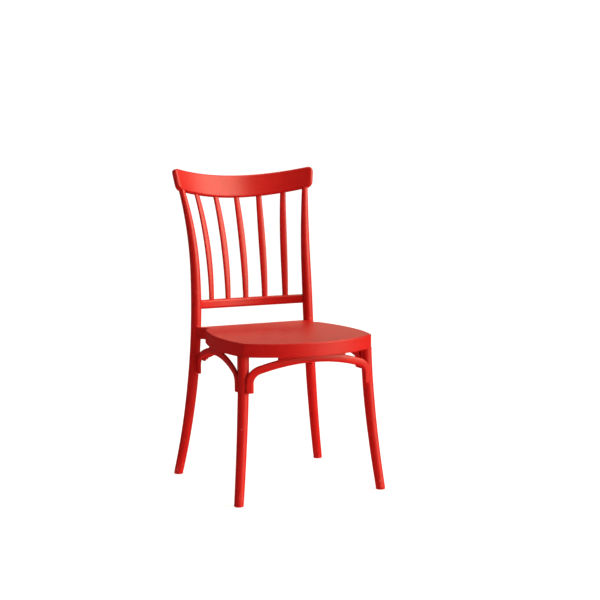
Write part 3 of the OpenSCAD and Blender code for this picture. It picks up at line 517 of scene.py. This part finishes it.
for size in arches.values():
    size["endZ"] = seat["height"] - size["drop"]
    size["topZ"] = apronZ - size["gap"] - size["width"] / 2
frontEnd = flat(frontLegAt(arches["front"]["endZ"])) + archOffsets["front"]
sideFrontEnd = flat(frontLegAt(arches["side"]["endZ"])) + archOffsets["sideFront"]
sideRearEnd = flat(postAt(arches["side"]["endZ"])) + archOffsets["sideRear"]
rearEnd = flat(postAt(arches["rear"]["endZ"])) + archOffsets["rear"]
flipped = np.array([-1.0, 1.0])
arches["front"]["ends"] = (frontEnd * flipped, frontEnd)
arches["side"]["ends"] = (sideFrontEnd, sideRearEnd)
arches["rear"]["ends"] = (rearEnd * flipped, rearEnd)


def chord(size):  # from end to end in plan: its direction, the direction across it and half its length
    a, b = size["ends"]
    e = unit(b - a)
    return e, np.array([e[1], -e[0]]), np.linalg.norm(b - a) / 2


def archPlan(size, s):  # point in plan at a distance s from the arch's middle, bowed by 1 - (s / half)²
    _, across, half = chord(size)
    s = np.asarray(s, float)[..., None]
    return mix(*size["ends"], (s / half + 1) / 2) + across * size["bow"] * (1 - (s / half) ** 2)


def archLine(size):  # distance along the chord, height and angle of the middle line
    _, _, half = chord(size)
    longR, bendR, topZ, endZ = (size[k] for k in ("longR", "bendR", "topZ", "endZ"))
    s1 = (half - bendR) / (1 - bendR / longR)
    a1 = np.arcsin(s1 / longR)
    kx, kz = s1 - bendR * np.sin(a1), topZ - longR + (longR - bendR) * np.cos(a1)
    a2 = np.arccos((endZ - kz) / bendR) if kz < endZ else np.pi / 2
    crown = np.linspace(0, a1, 40)
    turn = np.linspace(a1, a2, 18)[1:]
    rows = [np.stack([longR * np.sin(crown), topZ - longR + longR * np.cos(crown), crown], axis=-1),
            np.stack([kx + bendR * np.sin(turn), kz + bendR * np.cos(turn), turn], axis=-1)]
    if kz > endZ:
        tail = kz - endRows(kz - endZ, archEnds["round"], 5, archEnds["tips"])[archEnds["tips"]:]
        rows.append(np.stack([np.full(len(tail), half), tail, np.full(len(tail), np.pi / 2)], axis=-1))
    rows = np.concatenate(rows)
    return np.concatenate([rows[:0:-1] * [-1, 1, -1], rows])


def archBar(size):  # the bar's oval section carried along that line
    s, z, angle = archLine(size).T
    e, across, half = chord(size)
    slope = -2 * size["bow"] * s / half ** 2
    flow = unit(e + across * slope[:, None])
    mid = archPlan(size, s)
    path = points(mid[:, 0], mid[:, 1], z)
    out = points(flow[:, 0] * np.sin(angle), flow[:, 1] * np.sin(angle), np.cos(angle))
    side = points(flow[:, 1], -flow[:, 0], 0 * s)
    run = np.concatenate([[0], np.cumsum(np.linalg.norm(np.diff(path, axis=0), axis=1))])
    draw = roundOff(np.minimum(run, run[-1] - run), archEnds["round"])
    section = oval(size["width"] / 2 - draw, size["thick"] / 2 - draw, archEnds["oval"], 40)
    return path[:, None] + section[..., :1] * out[:, None] + section[..., 1:] * side[:, None]


def archWeb(size):  # upright web from the bar's crown to the apron, flared where it stands on the bar
    s = endRows(2 * size["web"], webShape["round"], 40) - size["web"]
    _, across, _ = chord(size)
    crown = size["topZ"] - size["longR"] + np.sqrt(size["longR"] ** 2 - s ** 2) + size["width"] / 2
    z = np.minimum(crown[:, None] + webShape["levels"], apronZ)
    z = np.concatenate([z, np.full((len(s), 1), apronZ)], axis=1)
    draw = roundOff(np.minimum(s + size["web"], size["web"] - s), webShape["round"])[:, None]
    half = size["thick"] / 2 - webShape["edge"] - draw - webShape["thinner"]
    loopZ = np.concatenate([z, z[:, ::-1]], axis=1)
    loopW = np.concatenate([half, -half[:, ::-1]], axis=1)
    plan = archPlan(size, s)[:, None] + across * loopW[..., None]
    return points(plan[..., 0], plan[..., 1], loopZ)


# Fasteners: each is a pair of rows, the point under the head and the direction of the shank

hardware = {
    "screwR": 0.002, "archScrew": 0.036, "backScrew": 0.013, "screwHeadR": 0.0034, "screwHeadH": 0.0026,
    "crossArm": 0.0019, "crossHalf": 0.00045, "crossDeep": 0.0014,
    "boltR": 0.003, "boltL": 0.036, "boltHeadR": 0.005, "boltHeadH": 0.004,
    "socket": 0.005, "socketDeep": 0.0022, "fit": 0.00015,
    "frontRise": 0.012, "sideRise": 0.026, "rearRise": 0.005, "rearIn": 0.018,
    "frontApex": 0.045, "sideApex": 0.032, "railIn": 0.009, "crestUp": 0.014,
    "boltIn": 0.004, "boltSink": 0.0005, "frontDrops": (0.048, 0.020), "rearRises": (0.008, 0.020),
    "turn": 40, "insertBack": 0.001,
}
block = {
    "in": 0.0205, "lap": 0.007, "width": 0.025, "length": 0.027, "drop": 0.061, "draft": 0.004,
    "round": 0.005, "outerRound": 0.002, "edge": 0.0012,
}
blockX = frontLeg["x"] - block["in"]
blockY = atDepth(frontLeg["depth"]) + leg["radius"] - block["lap"]
headH = hardware["screwHeadH"]


def lifted(p, z):
    return np.array([p[0], p[1], z], float)


def crossing(axis, offset):  # where a screw crosses a leg: a little off its middle
    return axis + np.array([offset[0] / 3, 0])


def throughLeg(axis, offset, z):
    p = crossing(axis, offset)
    d = unit(axis + offset - p)
    return np.array([lifted(p - d * (leg["radius"] - headH), z), lifted(d, 0)])


def throughBar(start, aim, z):
    return np.array([lifted(start, z), lifted(unit(aim - start), 0)])


def apexScrew(size, s):
    return np.array([lifted(archPlan(size, s), size["topZ"] - size["width"] / 2 + headH), upright])


def spreadScrews():  # every screw of the right side, by the piece that its head sits in
    h = hardware
    front, side, rear = arches["front"], arches["side"], arches["rear"]
    frontZ, sideZ = front["endZ"] + h["frontRise"], side["endZ"] + h["sideRise"]
    rearZ = rear["endZ"] + h["rearRise"]
    sideStart = sideFrontEnd + [0, side["width"] / 2 - headH]
    sideAim = crossing(flat(frontLegAt(sideZ)), archOffsets["sideFront"])
    rearStart = archPlan(rear, rearEnd[0] - h["rearIn"])
    railDeep = np.sqrt(float(postRadius(railZ)) ** 2 - h["railIn"] ** 2)
    railPoint = [railPostX - h["railIn"], float(postY(railZ)) + railDeep - headH, railZ]
    crestX = crestPostX + float(postDirection(crestZ)[0]) * h["crestUp"]
    up, back = crestAxes(np.array(crestX))
    crestPoint = np.array([crestX, crestY(crestX), crestLowZ(crestX)]) + up * h["crestUp"]
    return {
        "frontLeg": [throughLeg(flat(frontLegAt(frontZ)), archOffsets["front"], frontZ)],
        "post": [throughLeg(flat(postAt(sideZ)), archOffsets["sideRear"], sideZ)],
        "frontArch": [apexScrew(front, h["frontApex"])],
        "sideArch": [throughBar(sideStart, sideAim, sideZ), apexScrew(side, -h["sideApex"]),
                     apexScrew(side, h["sideApex"])],
        "rearArch": [throughBar(rearStart, flat(postAt(rearZ)), rearZ), apexScrew(rear, h["frontApex"])],
        "rail": [np.array([railPoint, [0, -1.0, 0]])],
        "crest": [np.array([crestPoint + back * (crest["thick"] / 2 - headH), -back])],
    }


def spreadBolts():
    h = hardware
    x = frontLeg["x"] - h["boltIn"]
    y = blockY + block["length"] - h["boltHeadH"] - h["boltSink"]
    front = [np.array([[x, y, apronZ - drop], [0, -1.0, 0]]) for drop in h["frontDrops"]]
    way = direction(180 - h["turn"], 0)
    heights = [apronZ + seat["rearRise"] + rise for rise in h["rearRises"]]
    rear = [np.array([postAt(z) - way * (h["boltL"] + h["insertBack"]), way]) for z in heights]
    return {"front": front, "rear": rear}


def bothSides(spread, *keys):  # the fasteners of some pieces, right and left
    return [f * flip for key in keys for f in spread[key] for flip in sides.values()]


screws = spreadScrews()
bolts = spreadBolts()


def recess(fastener, radius, length):  # a round cutter from under the head outwards
    base, way = fastener
    return shell(turned(base, -way, [(0.0006, 0), (radius, 0), (radius, length)], 40))


def screwRecess(fastener):
    return recess(fastener, hardware["screwHeadR"] + hardware["fit"], 5 * headH)


def boltRecess(fastener):
    return recess(fastener, hardware["boltHeadR"] + 2 * hardware["fit"], 5 * hardware["boltHeadH"])


# Painted glints on the legs and posts, each also raised a little as a pin mark: height, direction they face
# from above, width and height of the oval

pinGlintSpots = {
    "frontLeg": [(0.208, -59, 0.0046, 0.0018), (0.025, -110, 0.0024, 0.0026)],
    "post": [(0.304, -119, 0.0036, 0.0026), (0.444, -93, 0.0032, 0.0026), (0.542, -75, 0.0024, 0.0026),
             (0.105, -62, 0.0020, 0.0020)],
}


def pinGlintPlaces():  # each painted glint spot on the surface of its leg, and on its twin
    found = []
    for kind, line, radius in (("frontLeg", frontLegAt, legRadius), ("post", postAt, postRadius)):
        for z, facing, width, height in pinGlintSpots[kind]:
            a = np.radians(facing)
            spot = line(z) + float(radius(z)) * np.array([np.cos(a), np.sin(a), 0])
            found += [(spot * flip, width, height) for flip in sides.values()]
    return found


seatPlastic = mouldedPlastic("seatPlastic", 0.34, 0.41)
# the frame's material paints the paler glint spots on the legs and posts
framePlastic = mouldedPlastic("framePlastic", 0.22, 0.38, pinGlintPlaces())
glidePlastic = mouldedPlastic("glidePlastic", 0.30, 0.46)
zincSteel = plated("zincSteel", (0.62, 0.64, 0.66, 1), (0.46, 0.48, 0.50, 1), 0.34, 0.25)
insertBrass = plated("insertBrass", (0.72, 0.52, 0.24, 1), (0.52, 0.36, 0.16, 1), 0.42, 0.4)
print("materials made")


# Legs and posts

def legSurface():  # level circles of the leg's radius, up its curve
    z = glideH + endRows(apronZ - glideH, leg["edge"], 90)
    draw = roundOff(np.minimum(z - glideH, apronZ - z), leg["edge"])
    radius = (legRadius(z) - draw)[:, None, None]
    plan = flat(frontLegAt(z))[:, None] + radius * circle(leg["cols"])
    return points(plan[..., 0], plan[..., 1], z[:, None])


def postSurface():  # circles square to the post's line, but level at the foot
    z = glideH + endRows(crestZ - glideH, leg["edge"], 190)
    radius = postRadius(z) - roundOff(z - glideH, leg["edge"])
    foot = 1 - ease(z, glideH, glideH + post["levelRun"])[:, None]
    way = unit(mix(postDirection(z), upright, foot))
    path = np.concatenate([postAt(z), postAt(crestZ)[None] + postDirection(crestZ) * post["shoulder"]])
    way = np.concatenate([way, way[-1:]])
    radius = np.append(radius, radius[-1])
    return carry(path, way, np.array([1.0, 0, 0]), radius[:, None, None] * circle(leg["cols"]))


for name, flip in sides.items():
    addFrame("frontLeg." + name, [shell(legSurface() * flip)], "front_leg_" + name,
             [screwRecess(f * flip) for f in screws["frontLeg"]])
    addFrame("rearPost." + name, [shell(postSurface() * flip)], "rear_post_" + name,
             [screwRecess(f * flip) for f in screws["post"] + screws["rail"]])
print("legs and posts made")


# Crest, rail and spindles

def crestSection(x):
    # A board whose corners are rounded by cornerR and whose edge is rolled by edgeR all round. Where
    # the roll has drawn in by e, the board is thinner by roundOff(e) and its corner starts e later.
    near = (crest["halfWidth"] - np.abs(x)) / np.cos(bowAngle(x))
    fade = 1 - np.minimum(near, crest["cornerR"]) / crest["cornerR"]
    thick = crest["thick"] - crest["endThin"] * fade ** 2
    turn = np.linspace(0, np.pi / 2, 9)
    e = np.clip(near, 0.0002, crest["edgeR"])[:, None] * (1 - np.cos(turn))
    up = crestHeight(x)[:, None] / 2 - e - roundOff(near[:, None] - e, crest["cornerR"] - e)
    out = thick[:, None] / 2 - roundOff(e, crest["edgeR"])
    quarter = np.stack([up, out], axis=-1)
    reverse = quarter[:, ::-1]
    return withFlats([quarter, reverse * [-1, 1], quarter * [-1, -1], reverse * [1, -1]])


def crestSurface():  # that board carried along the bow and leaned back
    x = endRows(2 * crest["halfWidth"], crest["cornerR"], crest["rows"], crest["tips"]) - crest["halfWidth"]
    section = crestSection(x)
    up, back = crestAxes(x)
    mid = points(x, crestY(x), crestLowZ(x)) + up * crestHeight(x)[:, None] / 2
    return mid[:, None] + section[..., :1] * up[:, None] + section[..., 1:] * back[:, None]


def railSurface():  # a rounded bar carried along the same bow, from post to post
    reach = railPostX - (float(postRadius(railZ)) - rail["lap"]) * np.cos(bowAngle(railPostX))
    x = np.linspace(-reach, reach, rail["rows"])
    a = bowAngle(x)
    along = points(np.cos(a), -np.sin(a), 0 * a)
    section = softBox(railHeight(x), rail["thick"], rail["edgeR"], 8)
    return carry(points(x, railY(x), railMidZ(x)), along, upright, section)


spindle = {
    "count": 5, "pitch": 0.0597, "topPitch": 0.0699, "fan": 2.45, "curve": 1.75, "width": 0.0214,
    "endWidth": 0.0174, "thick": 0.0094, "endThick": 0.009, "oval": 2.2, "foot": 0.009, "head": 0.012,
    "rows": 90,
}


def spindleSurface(index):
    # x, y and z go from the rail's top to the crest's lower edge as t^fan, t^curve and t
    i = index - (spindle["count"] + 1) / 2
    low, high = i * spindle["pitch"], i * spindle["topPitch"]
    t = np.linspace(0, 1, spindle["rows"])
    x = mix(low, high, t ** spindle["fan"])
    y = mix(railY(low), crestY(high), t ** spindle["curve"])
    path = points(x, y, mix(railMidZ(low) + railHeight(low) / 2, crestLowZ(high), t))
    way = unit(np.gradient(path, axis=0))
    swell = np.sin(np.pi * t)
    a = np.pad(mix(spindle["endWidth"], spindle["width"], swell) / 2, 1, mode="edge")
    b = np.pad(mix(spindle["endThick"], spindle["thick"], swell) / 2, 1, mode="edge")
    turn = bowAngle(path[:, 0])
    across = points(np.cos(turn), -np.sin(turn), 0 * turn)
    foot, head = path[:1] - way[:1] * spindle["foot"], path[-1:] + way[-1:] * spindle["head"]
    path = np.concatenate([foot, path, head])
    way, across = (np.concatenate([v[:1], v, v[-1:]]) for v in (way, across))
    return carry(path, way, across, oval(a, b, spindle["oval"], 36))


addFrame("crestRail", [shell(crestSurface())], "crest_rail",
         [screwRecess(f) for f in bothSides(screws, "crest")])
addFrame("backRail", [shell(railSurface())], "back_rail")
for index in range(1, spindle["count"] + 1):
    addFrame(f"spindle.{index}", [shell(spindleSurface(index))], f"spindle_{index}")
print("back made")


# Arches

for key, node in (("front", "front_arch"), ("rear", "rear_arch")):
    addFrame(key + "Arch", [shell(archBar(arches[key]))], node,
             [screwRecess(f) for f in bothSides(screws, key + "Arch")])
    addFrame(key + "ArchWeb", [shell(archWeb(arches[key]))], node)
for name, flip in sides.items():
    addFrame("sideArch." + name, [shell(archBar(arches["side"]) * flip)], "side_arch_" + name,
             [screwRecess(f * flip) for f in screws["sideArch"]])
    addFrame("sideArchWeb." + name, [shell(archWeb(arches["side"]) * flip)], "side_arch_" + name)
print("arches made")


# Seat

def seatOutline(count=430):
    # Arcs from the middle of the front round the right side, the notch and the rear corner to the
    # middle of the rear, then the same on the left. The front corner's arc touches front and side.
    s = seat
    sideR, frontR, cornerR = s["sideR"], s["frontR"], s["cornerR"]
    rearR, rearSideR = s["rearR"], s["rearSideR"]
    front = np.array([0, atDepth(frontR)])
    side = np.array([s["width"] / 2 - sideR, atDepth(s["widest"])])
    rearSide = np.array([s["width"] / 2 - rearSideR, atDepth(s["widest"])])
    gap = np.linalg.norm(front - side)
    run = ((sideR - cornerR) ** 2 - (frontR - cornerR) ** 2 + gap ** 2) / (2 * gap)
    off = np.sqrt((sideR - cornerR) ** 2 - run ** 2)
    d = unit(front - side)
    corner = side + d * run + np.array([d[1], -d[0]]) * off
    toFront, toSide = bearing(corner - front), bearing(corner - side)
    endA = np.degrees(np.arcsin((s["sideEnd"] - s["widest"]) / rearSideR))
    endWay = np.array([np.cos(np.radians(endA)), np.sin(np.radians(endA))])
    neckArc = arc(rearSide + (rearSideR - s["neckR"]) * endWay, s["neckR"], endA, s["neckTurn"], 12)
    rearY = atDepth(s["depth"])
    notch = np.array([s["neckX"], atDepth(s["neckDepth"])])
    ear = notch + [s["earOut"], s["earBack"]]
    earArc = arc([s["rearCornerX"] - rearR, rearY - rearR], rearR, s["earTurn"], 90, 14)
    line = np.concatenate([
        arc(front, frontR, -90, toFront, 90), arc(corner, cornerR, toFront, toSide, 24)[1:],
        arc(side, sideR, toSide, 0, 60)[1:], arc(rearSide, rearSideR, 0, endA, 60)[1:], neckArc[1:],
        filleted(neckArc[-1], notch, ear, s["notchR"]), filleted(notch, ear, earArc[0], s["earR"]),
        earArc, [[0, rearY]]])
    half = evenly(line, count)
    return np.concatenate([half, half[-2:0:-1] * flipped])


outline = seatOutline()
outlineOut = outwards(outline)
rearEdgeY = atDepth(seat["depth"])
seatMid = np.array([0, mix(atDepth(0), rearEdgeY, 0.5)])


def drawnIn(inset, z):  # the outline drawn in by inset, at height z
    plan = outline - outlineOut * inset
    return points(plan[:, 0], plan[:, 1], z)


def smoothed(plan, reach=28):  # each point goes to the middle of its neighbours, three times over
    for _ in range(3):
        plan = np.mean([np.roll(plan, step, axis=0) for step in range(-reach, reach + 1)], axis=0)
    return plan


def dishZ(share):  # the top falls from the rim to a flat middle as a quarter sine
    fall = np.minimum(1, (1 - share) / seat["dishRun"])
    return seat["height"] - seat["dish"] * np.sin(np.pi / 2 * fall)


def seatSurface():
    # Top from the middle out, rim, apron down, its lower edge, inner wall up, ceiling back to the
    # middle. The top's inner rings leave out the notches, so that no crease runs in from them.
    rim, wall, edge, ceilingR = (seat[k] for k in ("rimR", "wall", "edge", "ceilingR"))
    riseAt = atDepth(seat["neckDepth"])
    low = apronZ + seat["rearRise"] * ease(outline[:, 1], riseAt, riseAt + seat["riseRun"])
    rimTop = flat(drawnIn(rim, 0))
    inner = smoothed(rimTop)
    rows = []
    for share in np.concatenate([np.linspace(0.04, 0.9, 24), np.linspace(0.9, 1, 8)[1:-1]]):
        plan = mix(seatMid, mix(inner, rimTop, ease(share, 0.7, 1)), share)
        rows.append(points(plan[:, 0], plan[:, 1], dishZ(share)))
    for a in np.radians(np.linspace(90, 0, 10)):
        rows.append(drawnIn(rim * (1 - np.cos(a)), seat["height"] - rim * (1 - np.sin(a))))
    for share in (0.04, 0.35, 0.7, 0.96):
        rows.append(drawnIn(0, mix(seat["height"] - rim, low + edge, share)))
    for a in np.radians(np.linspace(0, 180, 11)):
        rows.append(drawnIn(wall / 2 * (1 - np.cos(a)), low + edge * (1 - np.sin(a))))
    for share in (0.06, 0.5, 0.94):
        rows.append(drawnIn(wall, mix(low + edge, ceilingZ - ceilingR, share)))
    for a in np.radians(np.linspace(0, 90, 6)):
        rows.append(drawnIn(wall + ceilingR * (1 - np.cos(a)), ceilingZ - ceilingR * (1 - np.sin(a))))
    ceiling = flat(drawnIn(wall + ceilingR, 0))
    for share in (0.97, 0.7, 0.4, 0.08):
        plan = mix(seatMid, ceiling, share)
        rows.append(points(plan[:, 0], plan[:, 1], ceilingZ))
    return np.stack(rows)


under = {  # what stands under the seat's top
    "lap": 0.0005, "ribT": 0.003, "ribH": 0.015, "ribPitch": 0.092, "ribEdge": 0.0006, "ribIn": 0.002,
    "earX": 0.140, "earDepth": 0.026, "earEdge": 0.0008, "earEdgeRow": 0.0002, "earRow": 0.004,
    "socketR": 0.0124, "apexR": 0.0075, "bossEdge": 0.0006,
}
rootZ = ceilingZ + under["lap"]  # each form reaches a little into the top


def seatRibs():  # straight ribs under the top, from wall to wall both ways
    right = (outline - outlineOut * under["ribIn"])[:len(outline) // 2 + 1]
    widest = int(np.argmax(right[:, 0]))
    tall = under["ribH"] + under["lap"]
    z = rootZ - tall / 2
    lines = []
    for k in (-1, 0, 1):
        x = k * under["ribPitch"]
        front = np.interp(abs(x), right[:widest, 0], right[:widest, 1])
        lines.append(([x, front, z], [x, rearEdgeY - under["ribIn"], z]))
        y = seatMid[1] + k * under["ribPitch"]
        reach = np.interp(y, right[:, 1], right[:, 0])
        lines.append(([-reach, y, z], [reach, y, z]))
    section = softBox(tall, under["ribT"], under["ribEdge"], 5)
    share = np.linspace(0, 1, 12)[:, None]
    return [shell(carry(mix(a, b, share), b - a, upright, section)) for a, b in np.array(lines)]


def boss(plan, radius):  # upright round boss with a broken lower edge, kept inside the apron
    edge, tall = under["bossEdge"], rootZ - apronZ
    grid = turned(np.array([*plan, apronZ]), upright,
                  [(radius * 0.2, 0), (radius - edge, 0), (radius, edge), (radius, tall)])
    grid[..., 1] = np.minimum(grid[..., 1], rearEdgeY - edge)
    return shell(grid)


def blockSurface():  # tapered block behind the front leg, its lower inner corner rounded
    low = apronZ - block["drop"]
    x0, x1 = blockX, blockX + block["width"]
    corner = filleted([x0, ceilingZ], [x0 + block["draft"], low], [x1, low], block["round"], 12)
    outer = filleted([x0, low], [x1, low], [x1, ceilingZ], block["outerRound"], 8)
    line = np.concatenate([[[x0, rootZ]], corner, outer, [[x1, rootZ], [x0, rootZ]]])
    loop = evenly(line, 121)[:-1]
    normal = outwards(loop)
    y = endRows(block["length"], block["edge"], 8)
    draw = roundOff(np.minimum(y, block["length"] - y), block["edge"])[:, None, None]
    plan = loop - normal * draw
    return points(plan[..., 0], (blockY + y)[:, None], plan[..., 1])


def earSurface():  # solid corner that the rear bolts pass through
    edgeR = under["earEdge"]
    ring = (outline - outlineOut * edgeR)[:len(outline) // 2 + 1]
    x0, y0 = under["earX"], rearEdgeY - under["earDepth"]
    edge = ring[(ring[:, 1] > y0) & (ring[:, 0] > x0)]
    line = np.concatenate([[[x0, y0]], [[edge[0, 0], y0]], edge, [[x0, rearEdgeY - edgeR]], [[x0, y0]]])
    loop = evenly(line, 121)[:-1]
    normal = outwards(loop)
    low = apronZ + seat["rearRise"]
    tall = rootZ - low
    z = np.array([0, under["earEdgeRow"], edgeR, under["earRow"], tall - 0.001, tall])
    draw = roundOff(z, edgeR)[:, None, None]
    plan = loop - normal * draw
    return points(plan[..., 0], plan[..., 1], (low + z)[:, None])


addSeat("seatShell", [shell(seatSurface())])
addSeat("seatRibs", seatRibs())
places = [(flat(frontLegAt(apronZ)), under["socketR"])] + [
    (archPlan(arches[key], s * hardware[apex]), under["apexR"])
    for key, apex, ends in (("front", "frontApex", (1,)), ("side", "sideApex", (-1, 1)),
                            ("rear", "frontApex", (1,))) for s in ends]
addSeat("seatBosses", [boss(p * flip[:2], radius) for p, radius in places for flip in sides.values()])
for name, flip in sides.items():
    addSeat("seatBlock." + name, [shell(blockSurface() * flip)],
            [boltRecess(f * flip) for f in bolts["front"]])
    addSeat("seatEar." + name, [shell(earSurface() * flip)],
            [boltRecess(f * flip) for f in bolts["rear"]])
print("seat made")


# Glides

def glideSurface(p):  # round pad with a rolled lip, its stem hidden in the foot
    r, lip, cup, stem = leg["footRadius"], glide["lip"], glide["cup"], glide["stemR"]
    roll = [(r - lip + lip * np.cos(a), lip + lip * np.sin(a)) for a in np.radians(np.linspace(-90, 0, 8))]
    profile = [(0.002, cup), (r - glide["cupR"], cup), (r - glide["cupR"] + 0.0005, 0)] + roll
    profile += [(r, glideH - 0.0006), (r - 0.0005, glideH - 0.0001), (stem, glideH),
                (stem, glideH + glide["stemH"])]
    return turned(np.array([p[0], p[1], 0.0]), upright, profile, 64)


for name, p in (("front", frontLegAt(glideH)), ("rear", postAt(glideH))):
    for side, flip in sides.items():
        add(f"glide.{name}.{side}", [shell(glideSurface(p) * flip)], glidePlastic,
            f"glide_{name}_{side}")


# Bolts with a hexagon socket and screws with a cross recess

def hexagon(a, across):  # distance to the side of a hexagon in direction a
    return across / 2 / np.cos((a % (np.pi / 3)) - np.pi / 6)


def cross(a, arm, half):  # distance to the edge of a plus sign in direction a
    c, s = np.maximum(np.abs(np.cos(a)), 1e-6), np.maximum(np.abs(np.sin(a)), 1e-6)
    return np.maximum(np.minimum(arm, half / s), np.minimum(arm, half / c))


def fastenerSurface(fastener, shank, length, head, tall, socket, deep):
    # From the tip up the shank, round the head, over its top and down into the socket, whose edge
    # lies at the distances in socket
    base, way = fastener
    full = np.ones(len(socket))
    rows = [(full * shank * 0.5, length), (full * shank * 0.85, length - 0.0004),
            (full * shank, length - 0.0012), (full * shank, 0.0),
            (full * head * 0.96, 0.0), (full * head, -0.0003)]
    rows += [(full * head * (0.86 + 0.14 * np.cos(t)), -tall * (0.72 + 0.28 * np.sin(t)))
             for t in np.linspace(0, np.pi / 2, 6)]
    rows += [(mix(head * 0.86 * full, socket, 0.55), -tall), (socket * 1.03, -tall),
             (socket, -tall + 0.0002), (socket * 0.94, -tall + deep), (socket * 0.3, -tall + deep * 1.1)]
    radius = np.stack([r for r, _ in rows])
    height = np.array([h for _, h in rows])
    return base + radius[..., None] * spokes(way, len(socket)) + height[:, None, None] * way


def boltSurface(f):
    h = hardware
    socket = hexagon(allRound(72), h["socket"])
    return fastenerSurface(f, h["boltR"], h["boltL"], h["boltHeadR"], h["boltHeadH"], socket,
                           h["socketDeep"])


def screwSurface(f, length):
    h = hardware
    socket = cross(allRound(72), h["crossArm"], h["crossHalf"])
    return fastenerSurface(f, h["screwR"], length, h["screwHeadR"], h["screwHeadH"], socket,
                           h["crossDeep"])


for name, node, length, keys in (
        ("archScrews", "arch_screws", hardware["archScrew"],
         ("frontLeg", "post", "frontArch", "sideArch", "rearArch")),
        ("backScrews", "back_screws", hardware["backScrew"], ("rail", "crest"))):
    add(name, [shell(screwSurface(f, length)) for f in bothSides(screws, *keys)],
        zincSteel, node)
add("legBolts", [shell(boltSurface(f)) for f in bothSides(bolts, "front", "rear")],
    zincSteel, "leg_bolts")
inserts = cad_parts["leg_inserts"]
inserts.data.materials.clear()
inserts.data.materials.append(insertBrass)
print("fasteners made")


# Floor, light and camera

studio = {
    "floor": (0.42, 0.44, 0.46, 1), "floorDark": (0.40, 0.42, 0.44, 1), "glow": 0.86, "sky": (1, 1, 1, 1),
    "skyStrength": 0.05, "backdrop": 1.1, "warm": (1.0, 0.88, 0.64), "middle": 0.45, "reach": 12.0,
    "sun": {"azimuth": 50, "elevation": 26, "strength": 3.5, "spread": 56},
    "top": {"at": (0.2, 0.2, 3.0), "size": 1.3, "power": 27},
    "back": {"at": (1.3, 2.6, 2.2), "size": 2.2, "power": 11},
    "fill": {"at": (-3.2, 0.6, 1.6), "size": 2.4, "power": 2},
    "front": {"at": (1.9, -3.1, 0.9), "size": 2.0, "power": 17},
    "bounce": {"height": -0.05, "size": 5.0, "power": 78},
}


def stand(name, data, back, at, roll=0.0):  # an object at a point that looks along -back
    side = unit(np.cross([0, 0, 1], back))
    right = side * np.cos(roll) + np.cross(back, side) * np.sin(roll)
    axes = np.column_stack([right, np.cross(back, right), back, at])
    holder = bpy.data.objects.new(name, data)
    holder.matrix_world = Matrix([*axes.tolist(), [0, 0, 0, 1]])
    bpy.context.scene.collection.objects.link(holder)
    return holder


def softLight(name, at, size, power):  # a round lamp that looks at the chair's middle
    lamp = bpy.data.lights.new(name, "AREA")
    lamp.shape = "DISK"
    lamp.size = size
    lamp.energy = power
    lamp.color = studio["warm"]
    stand(name, lamp, unit(np.array(at) - [0, 0, studio["middle"]]), at)


def softSun(azimuth, elevation, strength, spread):  # a wide sun from the right, even over the floor
    lamp = bpy.data.lights.new("key", "SUN")
    lamp.energy = strength
    lamp.color = studio["warm"]
    lamp.angle = np.radians(spread)
    back = direction(azimuth, elevation)
    stand("key", lamp, back, back * 4)


def bounceLight(height, size, power):
    # What the floor throws back up at the chair. A lamp just under it takes its place, so that it
    # lights the plastic without being mirrored in it.
    lamp = bpy.data.lights.new("bounce", "AREA")
    lamp.size = size
    lamp.energy = power
    lamp.cycles.use_multiple_importance_sampling = False
    holder = stand("bounce", lamp, direction(0, -89.9), (0, 0, height))
    holder.visible_camera = False
    holder.visible_glossy = False


def makeSky():  # soft light from all round, before a plain white backdrop
    world = bpy.data.worlds.new("studio")
    bpy.context.scene.world = world
    world.use_nodes = True
    sky = Wire(world.node_tree)
    seen = sky.node("LightPath", out=0)
    background = world.node_tree.nodes["Background"]
    background.inputs["Color"].default_value = studio["sky"]
    strength = studio["skyStrength"] + seen * (studio["backdrop"] - studio["skyStrength"])
    world.node_tree.links.new(strength.socket, background.inputs["Strength"])


def makeFloor():
    reach = studio["reach"]
    mesh = bpy.data.meshes.new("floor")
    corners = [(x * reach, y * reach, 0) for x, y in ((-1, -1), (1, -1), (1, 1), (-1, 1))]
    mesh.from_pydata(corners, [], [(0, 1, 2, 3)])
    floor = bpy.data.objects.new("floor", mesh)
    bpy.context.scene.collection.objects.link(floor)
    made, maths, shader = material("paleFloor", studio["floor"], specular=0.1)
    place = maths.node("TexCoord", out=3)
    cloud = maths.node("TexNoise", None, {"Vector": place, "Scale": 1.2, "Detail": 2.0})
    plug(maths, shader, Base_Color=cloud.tint(studio["floorDark"], studio["floor"]))
    shader.inputs["Roughness"].default_value = 0.9
    shader.inputs["Emission Color"].default_value = (1, 1, 1, 1)
    shader.inputs["Emission Strength"].default_value = studio["glow"]
    floor.data.materials.append(made)
    floor.visible_glossy = False
    floor.visible_diffuse = False  # the bounce lamp lights the chair in its place, through it
    floor.visible_shadow = False


makeFloor()
makeSky()
softSun(**studio["sun"])
bounceLight(**studio["bounce"])
for name in ("top", "back", "fill", "front"):
    softLight(name, **studio[name])

view = {
    "pixels": 1407.236, "frame": 600, "azimuth": -25.213, "elevation": 6.571, "roll": -0.381,
    "at": (-1.6411, -3.63585, 0.9854), "frameShift": 0.275, "sensor": 36,
}


def makeCamera():  # from a point and directions found from the photograph
    lens = bpy.data.cameras.new("camera")
    lens.sensor_width = view["sensor"]
    lens.lens = view["pixels"] / view["frame"] * view["sensor"]
    lens.clip_end = 60
    at = np.array(view["at"]) - [0, crestBackDepth / 2 - view["frameShift"], 0]
    back = direction(view["azimuth"], view["elevation"])
    bpy.context.scene.camera = stand("camera", lens, back, at, np.radians(view["roll"]))


makeCamera()
bpy.context.scene.view_settings.view_transform = "Standard"
print("stage, lights and camera made")
